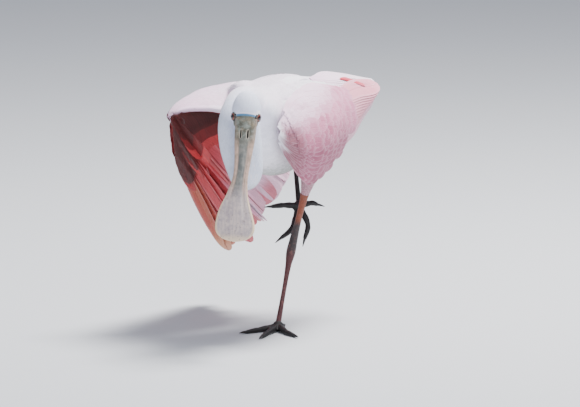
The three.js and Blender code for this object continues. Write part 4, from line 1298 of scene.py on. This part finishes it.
def leg_skin(name, side, start, end, steps, around):
    """A bare part of a leg: a tube along the leg's line, slightly narrower than deep. It keeps how far down
    the leg each point is."""
    t = np.linspace(0, 1, steps)
    angle = np.linspace(0, 2 * np.pi, around, endpoint=False)
    rings = leg_part(side, start, end, 0.97).at(t[:, None], angle[None])
    share = np.append(np.repeat(start + (end - start) * t, around), [start, end])
    return new_mesh(f"{name}_{side}_skin", *tube(rings), 180, values={"down": share * leg_lines[side].length})


def leg_material(name, tones, places, spot, scale):
    """Scaly leg skin: three colours from above to below, changing over the places given in mm, with small
    plates and pale specks."""
    material, g, inputs = new_material(name, 0.5, specular_ior_level=0.4)
    place = g.place()
    down = g.value("down")
    plates = g.plates(scale, place, 0.02, 0.2)
    colour = g.blend(g.between(down, *places[0]), tones[0], tones[1])
    colour = g.blend(g.between(down, *places[1]), colour, tones[2])
    colour = g.blend(g.between(g.noise(190.0, 4.0, place), 0.5, 0.7, 0.0, 0.4), colour, spot)
    colour = g.blend(g.between(plates, 0.0, 1.0, 0.35, 0.0), colour, (24, 16, 16))
    g.link(colour, inputs["Base Color"])
    g.link(g.bump(plates, 0.5, 0.0004), inputs["Normal"])
    return material


toe_girth = sized([[0, 5], [0.3, 4], [0.36, 4.4], [0.6, 3.4], [0.66, 3.8], [1, 2.5]])
claw_length = 11.0
# For each foot the middle of its pad, its upper side and its floor, and for each toe the claw's tip and a
# place on the way to it
feet = {
    "left": (
        (0, -1, 6.5), np.array([0.0, 0, 1]), 0.0, {
            "inner": ((-52, -34, 1.9), (-28, -17, 3.4)), "middle": ((-25, -79, 1.9), (-14, -40, 3.4)),
            "outer": ((27, -68, 1.9), (12, -36, 3.4)), "back": ((10, 38, 1.9), (6, 20, 3.4)),
        },
    ),
    "right": (
        (28, 84, 157), unit([0, -0.8, 0.6]), -100.0, {
            "inner": ((33, 62, 104), (40, 74, 132)), "middle": ((-4, 50, 111), (18, 66, 128)),
            "outer": ((-19, 53, 159), (6, 66, 160)), "back": ((63, 95, 154), (46, 88, 160)),
        },
    ),
}


def toe_line(side, name):
    """The line of a toe from the pad to the root of its claw."""
    pad, _, _, toes = feet[side]
    tip, via = (np.array(p, float) for p in toes[name])
    return Curve([pad, via, tip + unit(via - tip) * claw_length])


def toe_size(flat=1.0):
    """A toe's half size: its girth times flat, rounded off at the very tip as a ball is."""
    def at(t):
        end = np.clip((np.asarray(t, float) - 0.97) / 0.03, 0, 1)
        return toe_girth(t) * np.sqrt(np.maximum(0, 1 - end**2)) * flat
    return at


def web(one, two, face):
    """Points and quads of the web between two toes: a thin closed sheet between the same shares of their
    lines, with its free edge cupped towards the pad."""
    n, m = 12, 10
    half_thick = 0.9
    out = np.linspace(0.02, 0.42, n)[:, None]
    w = np.linspace(0, 1, m)[None]
    share = out * (1 - 0.35 * np.sin(np.pi * w))
    sheet = mix(one.at(share), two.at(share), np.broadcast_to(w, (n, m))).reshape(-1, 3)
    points = np.vstack([sheet + face * half_thick, sheet - face * half_thick])
    i, j = np.meshgrid(np.arange(n - 1), np.arange(m - 1), indexing="ij")
    under = np.stack([i * m + j, (i + 1) * m + j, (i + 1) * m + j + 1, i * m + j + 1], -1).reshape(-1, 4)
    edge = np.concatenate([
        np.arange(m), np.arange(1, n) * m + m - 1, (n - 1) * m + np.arange(m - 2, -1, -1),
        np.arange(n - 2, 0, -1) * m,
    ])
    after = np.roll(edge, -1)
    rim = np.stack([after, after + n * m, edge + n * m, edge], -1)
    return points, np.vstack([under[:, ::-1], under + n * m, rim])


def foot_mesh(side, voxel):
    """A foot: round toes with swollen joints run into a pad, with small webs between the front toes, merged
    by a voxel remesh. It stands a hair above the floor."""
    pad, face, floor, toes = feet[side]
    lines = {name: toe_line(side, name) for name in toes}
    ball = Swept(
        lambda t: np.asarray(pad) + (t[..., None] - 0.5) * np.array([0, 0, 15.0]), steady((0, 0, 1)),
        (1, 0, 0), closed(7.5, power=2), closed(7.5, power=2),
    )
    parts = [swept_mesh(ball, 20, 20)]
    for line in lines.values():
        toe = Swept(line.at, line.along, np.cross(line.along(0.5), face), toe_size(1.02), toe_size())
        parts.append(swept_mesh(toe, 60, 16))
    for one, two in (("inner", "middle"), ("middle", "outer")):
        parts.append(web(lines[one], lines[two], face))
    piece = fused(f"foot_{side}_skin", parts, voxel, 3, floor)
    at = points_of(piece.data)
    at[:, 2] = np.maximum(at[:, 2], floor + 0.2)
    piece.data.vertices.foreach_set("co", (at * MM).astype(np.float32).ravel())
    add_value(piece.data, "down", np.full(len(at), 300))
    return piece


def claw_mesh(side, name, steps, around):
    """A claw: a horny cone along a parabola, bent down to its tip."""
    line = toe_line(side, name)
    _, face, floor, toes = feet[side]
    start = line.at(1.0) - line.along(0.99) * 0.5
    tip = np.array(toes[name][0], float)
    t = np.linspace(0, 1, steps)
    middle = (start + tip) / 2 + face * 1.2
    spine = mix(mix(start, middle, t), mix(middle, tip, t), t)
    tangent = unit(np.gradient(spine, axis=0))
    across = unit(np.cross(tangent, face))
    size = 2.15 * (1 - t) ** 0.7 + 0.12
    angle = np.linspace(0, 2 * np.pi, around, endpoint=False)[None]
    section = turning(across[:, None] * 0.85, np.cross(across, tangent)[:, None], angle)
    points, quads = tube(spine[:, None] + size[:, None, None] * section)
    points[:, 2] = np.maximum(points[:, 2], floor + 0.15)
    return new_mesh(f"claw_{side}_{name}_horn", points, quads, 60)


# Settings, operators and panel

class BirdCoat(bpy.types.PropertyGroup):
    """How finely the plumage is built."""

    skin_voxel: bpy.props.FloatProperty(
        name="Skin voxel", description="Voxel size of the skin's remesh", default=0.0016, min=0.001,
        max=0.006, subtype="DISTANCE", unit="LENGTH",
    )
    skin_smoothing: bpy.props.IntProperty(
        name="Skin smoothing", description="Rounds of smoothing after the remesh", default=22, min=0, max=30,
        subtype="UNSIGNED",
    )
    feather_share: bpy.props.FloatProperty(
        name="Feather share", description="Share of the small feathers that is built", default=1.0, min=0.1,
        max=1.0, subtype="FACTOR",
    )


class BirdFeet(bpy.types.PropertyGroup):
    """How finely the legs and feet are built."""

    foot_voxel: bpy.props.FloatProperty(
        name="Foot voxel", description="Voxel size of each foot's remesh", default=0.0009, min=0.0004,
        max=0.003, subtype="DISTANCE", unit="LENGTH",
    )


class BirdStage(bpy.types.PropertyGroup):
    """The floor, the lamps and the camera."""

    camera_distance: bpy.props.FloatProperty(
        name="Camera distance", description="How far the camera is from the bird", default=9.0, min=2.0,
        max=30.0, subtype="DISTANCE", unit="LENGTH",
    )
    camera_elevation: bpy.props.FloatProperty(
        name="Camera elevation", description="Angle at which the camera looks down",
        default=math.radians(8.0), min=0.0, max=1.5, subtype="ANGLE", unit="ROTATION",
    )
    frame_width: bpy.props.FloatProperty(
        name="Frame width", description="Width of the picture at the bird", default=0.773, min=0.1, max=5.0,
        subtype="DISTANCE", unit="LENGTH",
    )


class BirdOperator(bpy.types.Operator):
    """Shared by the operators that build the bird."""

    bl_options = {"REGISTER", "UNDO"}

    def execute(self, context):
        self.build(context.scene)
        return {"FINISHED"}


class SPOONBILL_OT_skin(BirdOperator):
    """Builds the skin that runs over torso, neck, head and thighs"""

    bl_idname = "spoonbill.skin"
    bl_label = "Skin"

    def build(self, scene):
        settings = scene.bird_coat
        settle(
            plumage_skin(settings.skin_voxel, settings.skin_smoothing), skin_material(), "white_plumage",
            "torso", "neck_base", "neck_bend", "neck_upper", "head", "thigh_left", "thigh_right",
        )


def on_face(line):
    """Where a feather's root or tip would lie on the bare face, or its root at an eye."""
    covered = (bare(line[:, 0]) >= 0.5) | (bare(line[:, -1]) >= 0.5)
    for centre, _ in eyes.values():
        covered |= np.linalg.norm(line[:, 0] - centre, axis=1) <= 8.2
    return covered


class SPOONBILL_OT_coat(BirdOperator):
    """Builds the small feathers of the body, neck, head and thighs"""

    bl_idname = "spoonbill.coat"
    bl_label = "Coat"

    def build(self, scene):
        share = math.sqrt(scene.bird_coat.feather_share)
        white = plumage("white_feathers", (240, 234, 240), 0.2, (252, 250, 252), 0.3, 0.08, 0.3)
        near, thick, forwards = (-0.5, 0.22), (0.14, 0.06), (1, 0)
        torso_size = (lambda t: 15 + 6 * np.sin(np.pi * t), lambda t: 7 + 3 * np.sin(np.pi * t))
        neck_size = (lambda t: 11 - 3.5 * t, lambda t: 3.2 - 1.2 * t)
        head_size = (lambda t: 6.0 - 2.4 * t, lambda t: 1.9 - 0.7 * t)
        thigh_size = (lambda t: 13 - 5 * t, lambda t: 4.2 - 2 * t)
        on_thigh = dict(flow=forwards, lift=(-0.4, 0.7), hide=(torso,), twist=0.25)
        for name, body, span, (rows, in_row), size, seed, plate, laying in (
            # name, body, span, rows and number in a row, length and width, seed, thickness and camber, laying
            ("torso", torso, (0.02, 0.985), (84, 70), torso_size, 3, thick,
             dict(lift=near, hide=(neck, mantle, nape))),
            ("mantle", mantle, (0.02, 0.985), (56, 70), (20, 9), 9, thick,
             dict(lift=near, hide=(neck, torso, nape))),
            ("nape", nape, (0.01, 0.99), (64, 70), (14, 6), 10, thick,
             dict(flow=forwards, lift=near, hide=(neck, torso, mantle))),
            ("neck_base", neck, (0.03, 0.5), (118, 50), neck_size, 4, (0.1, 0.05),
             dict(lift=(-0.4, 0.2), hide=(torso, mantle, nape), twist=0.15)),
            ("neck_upper", neck, (0.49, 0.985), (118, 50), neck_size, 14, (0.1, 0.05),
             dict(lift=(-0.4, 0.2), twist=0.15)),
            ("head", head, (0.02, 0.82), (78, 76), head_size, 5, (0.08, 0.05),
             dict(lift=(-0.25, 0.2), bald=on_face)),
            *((f"thigh_{side}", thigh, (0.05, 0.97), (60, 40), thigh_size, 6, (0.12, 0.06), on_thigh)
              for side, thigh in thighs.items()),
        ):
            grid = (max(4, round(rows * share)), max(4, round(in_row * share)))
            coat(f"{name}_coat", body, span, grid, size, seed, plate, white, **laying)


def off_flank(a, q, low_front, high_front, top):
    """How far the folded wing stands off the flank: all the way but for its front edge and its upper
    edge."""
    return smooth(high_front, low_front, a) * smooth(top, top - 0.25, q)


class SPOONBILL_OT_left_wing(BirdOperator):
    """Builds the folded left wing: quills, tertials, four tiers of coverts, scapulars and a crimson
    streak"""

    bl_idname = "spoonbill.left_wing"
    bl_label = "Left wing"

    def build(self, scene):
        rose = plumage("rose_feathers", (196, 110, 130), 0.3, (246, 216, 230), 0.22, 0.12, 0.45, sheen=0.08)
        pale = plumage("mantle_feathers", (240, 214, 226), 0.2, (252, 248, 250), 0.3, 0.1, 0.35)
        draw = np.random.default_rng(11)
        hand, forearm = (np.linspace(0, 1, count)[:, None] for count in (8, 11))
        lift = 5 - 0.55 * np.arange(8)[:, None]
        k = np.arange(6)[:, None]
        for name, starts, ends, width, tilt, colours, seed, finish, slot, node in (
            # name, [ahead, share, lift] of roots and tips, width, tilt, colours, seed, material, slot, node
            ("primaries", (80 - 28 * hand, 0.34 - 0.19 * hand, lift),
             (-150 - 45 * np.sin(np.pi * (0.1 + hand * 0.62)), 0.46 - 0.4 * hand, lift),
             25, -0.04, (PALE_PINK, linear(240, 190, 208)), 21, rose, "pink_plumage", "wing_left_hand"),
            ("secondaries", (60 - 84 * forearm, 0.54 + 0.12 * forearm, 7 + 5.6 * forearm),
             (-128 - 75 * forearm, 0.24 + 0.42 * forearm, 7.4 + 6.6 * forearm),
             27, -0.09, (PALE_PINK, linear(232, 150, 168)), 22, rose, "rose_plumage", "wing_left_forearm"),
            ("tertials", (-24 + 0 * k, 0.86 + 0.02 * k, 9.4 + 0.5 * k),
             (-204 - 2 * k, 0.8 + 0.045 * k, 13 + 0.45 * k),
             27, -0.03, (BLUSH, linear(250, 232, 242)), 23, pale, "white_plumage", "wing_left_arm"),
        ):
            data = laid(np.hstack(starts), np.hstack(ends), width, quill_shape, 14, tilt)
            colour = quill_colours(data, *colours, seed)
            feathers(f"left_{name}", data, colour, finish, slot, 0.5, 0.03, 7, (node,))
        self.coverts(rose, draw)
        self.scapulars(pale, draw)
        k = np.arange(6.0)
        starts = np.stack([-99 - 4 * k, 0.868 - 0.016 * k, 14.8 + 0.1 * k], -1)
        ends = np.stack([-124 - 6 * k, 0.85 - 0.034 * k, 15.6 + 0.1 * k], -1)
        data = laid(starts, ends, 6, contour_shape, 8, -0.05)
        colour = quill_colours(data, CRIMSON, linear(234, 120, 140), 43)
        feathers("left_streak", data, colour, rose, "rose_plumage", 0.18, 0.04)

    def coverts(self, rose, draw):
        """Four tiers of coverts in staggered rows, the shorter ones nearer the front edge."""
        def stand(a, q):
            return (0.5 + 0.5 * off_flank(a, q, 76, 104, 1.3)) * (1 - 0.3 * smooth(0.34, 0.0, q))
        for index, (first, last, lowest, length, wide, root_lift, tip_lift) in enumerate((
            (-22, 66, 0.36, 62, 19, 11.2, 14.6), (4, 82, 0.14, 49, 17, 12.2, 14.6),
            (22, 92, 0.04, 39, 14.5, 12.6, 14.0), (38, 100, 0.0, 30, 12, 12.8, 13.6),
        )):
            gap = 0.056 - 0.005 * index
            q, a = np.meshgrid(np.arange(lowest, 0.86, gap), np.arange(first, last, 18 - 3.2 * index))
            q = (q + (np.arange(len(q)) % 2)[:, None] * 0.5 * gap).ravel()
            a = a.ravel() + draw.uniform(-2, 2, q.size)
            jitter = draw.uniform(-0.15, 0.15, q.size)
            to_a = a - length * draw.uniform(0.9, 1.1, q.size)
            to_q = q - 0.10 * (length / 62) * draw.uniform(0.8, 1.2, q.size)
            starts = np.stack([a, q, root_lift * stand(a, q) + jitter], -1)
            ends = np.stack([to_a, to_q, tip_lift * stand(to_a, to_q) + 0.5 + jitter], -1)
            data = laid(starts, ends, wide, contour_shape, 8, -0.02)
            colour = folded_wing_colour(data[0]) * draw.uniform(0.95, 1.04, (q.size, 1, 1))
            feathers(f"left_coverts_{index}", data, colour, rose, "rose_plumage", 0.18, 0.045)

    def scapulars(self, pale, draw):
        """White feathers of the shoulder over the wing's upper edge, shorter towards the front."""
        q, a = (v.ravel() for v in np.meshgrid(np.linspace(0.80, 1.02, 9), np.arange(-34, 86, 9)))
        q = q + (np.round(a / 9) % 2) * 0.017
        a = a + draw.uniform(-2, 2, q.size)
        front = smooth(30, 90, a)
        to_a = a - (48 - 20 * front)
        root_lift = 9.4 * off_flank(a, q, 34, 90, 1.14) - 0.8 + draw.uniform(-0.15, 0.15, q.size)
        tip_lift = 11.4 * off_flank(to_a, q, 34, 90, 1.14) + 0.3
        starts, ends = np.stack([a, q, root_lift], -1), np.stack([to_a, q - 0.02, tip_lift], -1)
        data = laid(starts, ends, 18 - 6 * front, contour_shape, 8, -0.02)
        colour = quill_colours(data, WHITE, WHITE, 41)
        feathers("left_scapulars", data, colour, pale, "white_plumage", 0.16, 0.04)


class SPOONBILL_OT_right_wing(BirdOperator):
    """Builds the half opened right wing: quills, coverts on both faces and the roof over the arm"""

    bl_idname = "spoonbill.right_wing"
    bl_label = "Right wing"

    def build(self, scene):
        draw = np.random.default_rng(61)
        self.quills(draw)
        under = plumage("underwing_feathers", (70, 18, 20), 0.5, (150, 62, 62), 0.12, 0.2, 0.5, sheen=0.02)
        pale = plumage("roof_feathers", (236, 206, 220), 0.3, (252, 244, 250), 0.28, 0.14, 0.45)
        self.coverts(under, pale, draw)
        self.roof(under, pale)
        a, b = np.meshgrid(np.arange(30, -50, -13), np.linspace(-24, -56, 6), indexing="ij")
        a, b = a.ravel(), (b + 3 * np.sin(a)).ravel()
        root = on_body(a, b, 51 - 0.004 * (b + 20) ** 2)
        tip = on_body(a - 66, b - 2, 44 - 0.006 * (b + 20) ** 2)
        laying = on_line(between_rows(root, tip, 8), 0.15 + 0.5 * stations(8))
        data = (*laying, widths(16, contour_shape, 8, len(a)))
        feathers("right_scapulars", data, body_colour(root), pale, "white_plumage", 0.2, 0.05)

    def quills(self, draw):
        """Primaries, secondaries and tertials: dark red at the root and paler to the tip, the outer ones
        tan."""
        finish = plumage("quill_feathers", (120, 20, 28), 0.9, (240, 170, 178), 0.2, 0.3, 0.6, sheen=0.02)
        steps = 16
        t = stations(steps)[None]
        hand, forearm, arm = np.arange(10.0), np.linspace(0, 7, 9), np.linspace(0, 2, 5)
        outer, inner = (hand / 9)[:, None], (forearm / 7)[:, None]
        red = mix(linear(184, 38, 44), linear(212, 92, 100), smooth(0.15, 0.95, t) * np.ones_like(outer))
        red = mix(red, ORANGE_BROWN, 0.8 * smooth(0.72, 1, outer) * np.ones_like(t))
        red = mix(red, TAN, smooth(0.7, 1, t) * smooth(0.6, 0.9, outer))
        red = mix(red, PALE_END, smooth(0.3, 0.05, outer) * smooth(0.5, 0.85, t))
        red = red * draw.uniform(0.92, 1.06, (10, 1, 1))
        rosy = mix(linear(194, 46, 52), linear(226, 118, 134), smooth(0.15, 0.9, t) * np.ones_like(inner))
        rosy = mix(rosy, PALE_END, smooth(-0.3, 0.15, inner) * smooth(0.5, 0.8, t))
        rosy = mix(rosy, CRIMSON, 0.7 * smooth(0.8, 0.92, t) * (np.abs(inner - 0.3) < 0.06))
        rosy = rosy * draw.uniform(0.93, 1.05, (9, 1, 1))
        for name, part, ks, width, shape, colour, nodes in (
            ("primaries", "hand", hand, 33 - hand, quill_shape, red, ("wing_right_hand",)),
            ("secondaries", "forearm", forearm, 31, blunt_shape, rosy, ("wing_right_forearm",)),
            ("tertials", "arm", arm, 31, quill_shape, mix(BLUSH, PALE_PINK, t * np.ones((5, 1))), ()),
        ):
            data = right_fan(part, ks, width, 1.2, steps, shape=shape)
            feathers(f"right_{name}", data, colour, finish, "rose_plumage", 0.4, 0.03, 7, nodes)

    def coverts(self, under, pale, draw):
        """Three tiers of coverts on both faces of hand and forearm."""
        # dark is the underwing's wine red deepened by painted shade
        dark, u = UNDERWING_SHADE_WINE, stations(8)[None]
        tiers = (
            # name, count, span, lift, width, root colour, tip colour
            # The greater under coverts' pale roots are painted highlights
            ("greater_under", 26, (0.08, 0.36), (-4.6, -1.2), 16, linear(240, 150, 150), linear(204, 62, 66)),
            ("median_under", 28, (0.03, 0.27), (-6.4, -3.6), 15, dark, linear(120, 30, 32)),
            ("lesser_under", 34, (-0.04, 0.17), (-7.8, -5.6), 12, dark, dark),
            ("greater_upper", 18, (0.02, 0.40), (3.0, 1.4), 22, PALE_PINK, ROSE),
            ("median_upper", 20, (0.0, 0.26), (4.4, 2.4), 19, PALE_PINK, linear(226, 120, 140)),
            ("lesser_upper", 24, (0.0, 0.15), (5.2, 3.8), 15, linear(214, 70, 88), linear(226, 110, 130)),
        )
        # The first and the last index of the upper and of the under tiers
        reach = {
            "hand": {"upper": (0.8, 9.3), "under": (-1.4, 9.3)},
            "forearm": {"upper": (-0.2, 7.5), "under": (-1.4, 7.5)},
        }
        for part in reach:
            for name, count, span, lift, width, root_colour, tip_colour in tiers:
                face = name.split("_")[1]
                ks = np.linspace(*reach[part][face], count)
                colour = mix(root_colour, tip_colour, smooth(0.1, 0.6, u) * np.ones((count, 1)))
                # On the hand the under coverts are darkened further by painted shade, the greater ones
                # turning red towards their tips
                if face == "under" and part == "hand":
                    glow = smooth(0.3, 0.9, u) * (name == "greater_under")
                    dim = mix(dark, linear(164, 44, 46), glow)
                    colour = mix(colour, dim, 0.95 * smooth(2, 6, ks)[:, None] * np.ones_like(u))
                colour = colour * draw.uniform(0.86, 1.12, (count, 1, 1))
                data = right_fan(part, ks, width, 0.4, 8, span=span, lift=lift, shape=contour_shape)
                finish = under if face == "under" else pale
                feathers(f"right_{part}_{name}", data, colour, finish, "rose_plumage", 0.2, 0.025)

    def roof(self, under, pale):
        """Small feathers over and under the arm, and on the arm and the hand themselves."""
        def over(p):
            return mix(body_colour(p), linear(236, 190, 218), 0.6 * smooth(4, -24, p[:, 1]))

        # Under the arm: the underwing's wine red, deepened by painted shade
        def beneath(p):
            wine_in_shade = mix(UNDERWING_SHADE_WINE, linear(150, 40, 40), blotch(p, 24, 9))
            return wine_in_shade * (0.85 + 0.3 * blotch(p, 9, 10))[:, None]

        # Crimson on the hand's face, painted shade under it
        def hand_colour(p):
            return mix(beneath(p), linear(190, 40, 54), smooth(-2, 3, (p - wrist_right) @ right_hand_face))
        coat(
            "right_roof", roof, (0.02, 0.985), (42, 56), (20, 9), 51, (0.14, 0.06), pale, "rose_plumage",
            colours=over, flow=(0.25, 1), hide=(torso, neck, mantle, nape), steps=6, half=1,
        )
        coat(
            "right_roof_under", roof, (0.1, 0.985), (30, 36), (20, 10), 54, (0.18, 0.1), under,
            "rose_plumage", colours=beneath, flow=(0.25, -1), lift=(-0.5, 0.4), hide=(torso, neck), steps=6,
            half=-1,
        )
        coat(
            "right_arm_coat", right_arm, (0.02, 0.98), (20, 28), (24, 11), 52, (0.12, 0.03), pale,
            nodes=("wing_right_arm",), flow=(1, 0), lift=(-0.9, 0.0), hide=(neck, mantle, nape, roof),
            twist=0.1, steps=6,
        )
        coat(
            "right_hand_coat", right_hand, (0.14, 0.98), (24, 30), (15, 7), 53, (0.22, 0.12), under,
            "pink_plumage", colours=hand_colour, flow=(1, 0), lift=(-0.7, 0.5), twist=0.3, steps=5,
        )


class SPOONBILL_OT_tail(BirdOperator):
    """Builds the tail's feathers and the coverts over them"""

    bl_idname = "spoonbill.tail"
    bl_label = "Tail"

    def build(self, scene):
        pink = plumage("tail_feathers", (190, 96, 104), 0.6, (236, 120, 140), 0.25, 0.2, 0.6)
        count, steps = 12, 14
        i = np.arange(count)
        s = 2 * i / (count - 1) - 1
        lift = 4.5 - 0.95 * (np.abs(2 * i - count + 1) - (s > 0))

        def on_tail(ahead, above):
            return on_body(ahead, 26 * s * ((-122 - ahead) / 89 * 0.62 + 0.38), above)
        t = np.broadcast_to(stations(steps), (count, steps))
        line = between_rows(on_tail(-108.0, 17 + lift), on_tail(-213 + 14 * s * s, 3 + lift), steps)
        centre = line + up * (8 * t * (1 - t))[..., None]
        colour = mix(PALE_PINK, DUSTY_ROSE, 0.6 * t)
        colour = mix(colour, ROSE, 0.5 * (np.abs(s) > 0.8)[:, None] * np.ones(steps))
        data = (centre, *squared_to(centre, up), widths(21, quill_shape, steps, count))
        feathers("tail_feathers", data, colour, pink, "pink_plumage", 0.5, 0.1, 7, ("tail",))
        a, b = np.meshgrid(np.linspace(-88, -124, 7), np.linspace(-1, 1, 9), indexing="ij")
        b = (b + (np.arange(7) % 2)[:, None] * 0.12).ravel()
        a = a.ravel()
        high = 19 + 8 * smooth(-124, -88, a) - 5 * b * b
        centre = between_rows(on_body(a, b * 20, high), on_body(a - 40, b * 24, high - 6 - 4 * b * b), 7)
        lean = up + left * (b * 0.5)[:, None]
        data = (centre, *squared_to(centre, lean[:, None]), widths(15, contour_shape, 7, len(a)))
        colour = mix(BLUSH, CRIMSON, 0.5 * smooth(-95, -125, a) * b**2)
        feathers("tail_coverts", data, colour, pink, "pink_plumage", 0.35, 0.14)


class SPOONBILL_OT_head(BirdOperator):
    """Builds the bill, the eyes and their lids"""

    bl_idname = "spoonbill.head"
    bl_label = "Bill and eyes"

    def build(self, scene):
        horn, eye, lid = bill_material(), eye_material(), lid_material()
        for half, steps, around in (("upper", 150, 72), ("lower", 120, 56)):
            settle(mandible(half, steps, around), horn, "bill", f"bill_{half}")
        for title in eyes:
            settle(eye_ball(title, 36, 40), eye, "eye", f"eye_{title}")
            settle(eye_lids(title, 64, 16), lid, "bill")


class SPOONBILL_OT_legs(BirdOperator):
    """Builds the shins, tarsi, feet and claws"""

    bl_idname = "spoonbill.legs"
    bl_label = "Legs and feet"

    def build(self, scene):
        hock_share = 0.53
        hock = hock_share * leg_lines["left"].length
        red = leg_material(
            "red_leg", ((142, 74, 50), (58, 50, 50), (86, 44, 46)),
            ((hock - 34, hock - 22), (hock + 8, hock + 26)), (150, 96, 90), 560.0,
        )
        dark = leg_material(
            "dark_leg", ((50, 42, 42), (32, 27, 29), (20, 18, 19)), ((60, 120), (150, 240)), (52, 46, 46),
            480.0,
        )
        black = (*linear(24, 20, 20), 1)
        horn, _, _ = new_material("claw_horn", 0.35, base_color=black, specular_ior_level=0.5)
        for side, finish, slot in (("left", red, "red_leg"), ("right", dark, "dark_leg")):
            shin = leg_skin("shin", side, 0.25, hock_share, 60, 24)
            settle(shin, red, "red_leg", f"shin_{side}")
            tarsus = leg_skin("tarsus", side, hock_share, 0.995, 100, 24)
            settle(tarsus, finish, slot, f"tarsus_{side}")
        for side in feet:
            settle(foot_mesh(side, scene.bird_feet.foot_voxel), dark, "dark_leg", f"foot_{side}")
            for name in feet[side][3]:
                settle(claw_mesh(side, name, 14, 12), horn, "claw", f"claw_{side}_{name}")


def stood(name, data, place, back):
    """A lamp or a camera at its place, upright, with its back turned that way."""
    held = bpy.data.objects.new(name, data)
    back = unit(back)
    side = unit(np.cross([0, 0, 1], back))
    matrix = np.eye(4)
    matrix[:3] = np.stack([side, np.cross(back, side), back, place], -1)
    held.matrix_world = Matrix(matrix.tolist())
    bpy.context.scene.collection.objects.link(held)
    return held


def lamp(name, place, target, size, power, colour):
    """A square area lamp that faces its target."""
    light = bpy.data.lights.new(name, "AREA")
    light.size = size
    light.energy = power
    light.color = colour
    stood(name, light, place, np.subtract(place, target))


class SPOONBILL_OT_stage(BirdOperator):
    """Sets the floor, the lamps, the sky and the camera"""

    bl_idname = "spoonbill.stage"
    bl_label = "Stage"

    def build(self, scene):
        stage = scene.bird_stage
        reach, under = 60000.0, -0.05
        corners = [(x * reach, y * reach, under) for x, y in ((-1, -1), (1, -1), (1, 1), (-1, 1))]
        floor = new_mesh("floor", corners, [[0, 1, 2, 3]])
        material, _, _ = new_material("floor", 0.9, base_color=(0.60, 0.62, 0.64, 1), specular_ior_level=0.2)
        floor.data.materials.append(material)
        floor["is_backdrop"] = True
        world = scene.world or bpy.data.worlds.new("World")
        scene.world = world
        world.use_nodes = True
        background = world.node_tree.nodes["Background"]
        background.inputs["Color"].default_value = (0.80, 0.84, 1.0, 1)
        background.inputs["Strength"].default_value = 0.56
        middle = (0.0, 0.0, 0.25)
        lamp("key", (0.9, 0.5, 2.8), middle, 1.0, 240, (1.0, 0.98, 0.97))
        lamp("fill", (0.8, -3.0, 1.6), middle, 1.8, 62, (0.95, 0.97, 1.0))
        camera = bpy.data.cameras.new("camera")
        camera.sensor_width = 36
        camera.lens = camera.sensor_width * stage.camera_distance / stage.frame_width
        picture_middle = np.array([0.016, 0.0, 0.1717])
        back = np.array([0, -math.cos(stage.camera_elevation), math.sin(stage.camera_elevation)])
        scene.camera = stood("camera", camera, picture_middle + back * stage.camera_distance, back)


settings = {"bird_coat": BirdCoat, "bird_feet": BirdFeet, "bird_stage": BirdStage}
operators = (
    SPOONBILL_OT_skin, SPOONBILL_OT_coat, SPOONBILL_OT_left_wing, SPOONBILL_OT_right_wing, SPOONBILL_OT_tail,
    SPOONBILL_OT_head, SPOONBILL_OT_legs, SPOONBILL_OT_stage,
)


class SPOONBILL_PT_panel(bpy.types.Panel):
    """Lists the settings and the operators"""

    bl_idname = "SPOONBILL_PT_panel"
    bl_label = "Spoonbill"
    bl_space_type = "VIEW_3D"
    bl_region_type = "UI"
    bl_category = "Spoonbill"

    def draw(self, context):
        for name, group in settings.items():
            for prop in group.__annotations__:
                self.layout.prop(getattr(context.scene, name), prop)
        for operator in operators:
            self.layout.operator(operator.bl_idname)


def register():
    for kind in (*settings.values(), *operators, SPOONBILL_PT_panel):
        bpy.utils.register_class(kind)
    for name, kind in settings.items():
        setattr(bpy.types.Scene, name, bpy.props.PointerProperty(type=kind))


def unregister():
    for name in settings:
        delattr(bpy.types.Scene, name)
    for kind in reversed((*settings.values(), *operators, SPOONBILL_PT_panel)):
        bpy.utils.unregister_class(kind)


def main():
    """Builds everything in order."""
    register()
    for operator in operators:
        space, name = operator.bl_idname.split(".")
        getattr(getattr(bpy.ops, space), name)()
    plain = lambda box: [[float(v) for v in corner] for corner in box]
    {"cad": plain(cad_box), "visual": plain(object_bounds())}


if __name__ == "__main__":
    main()
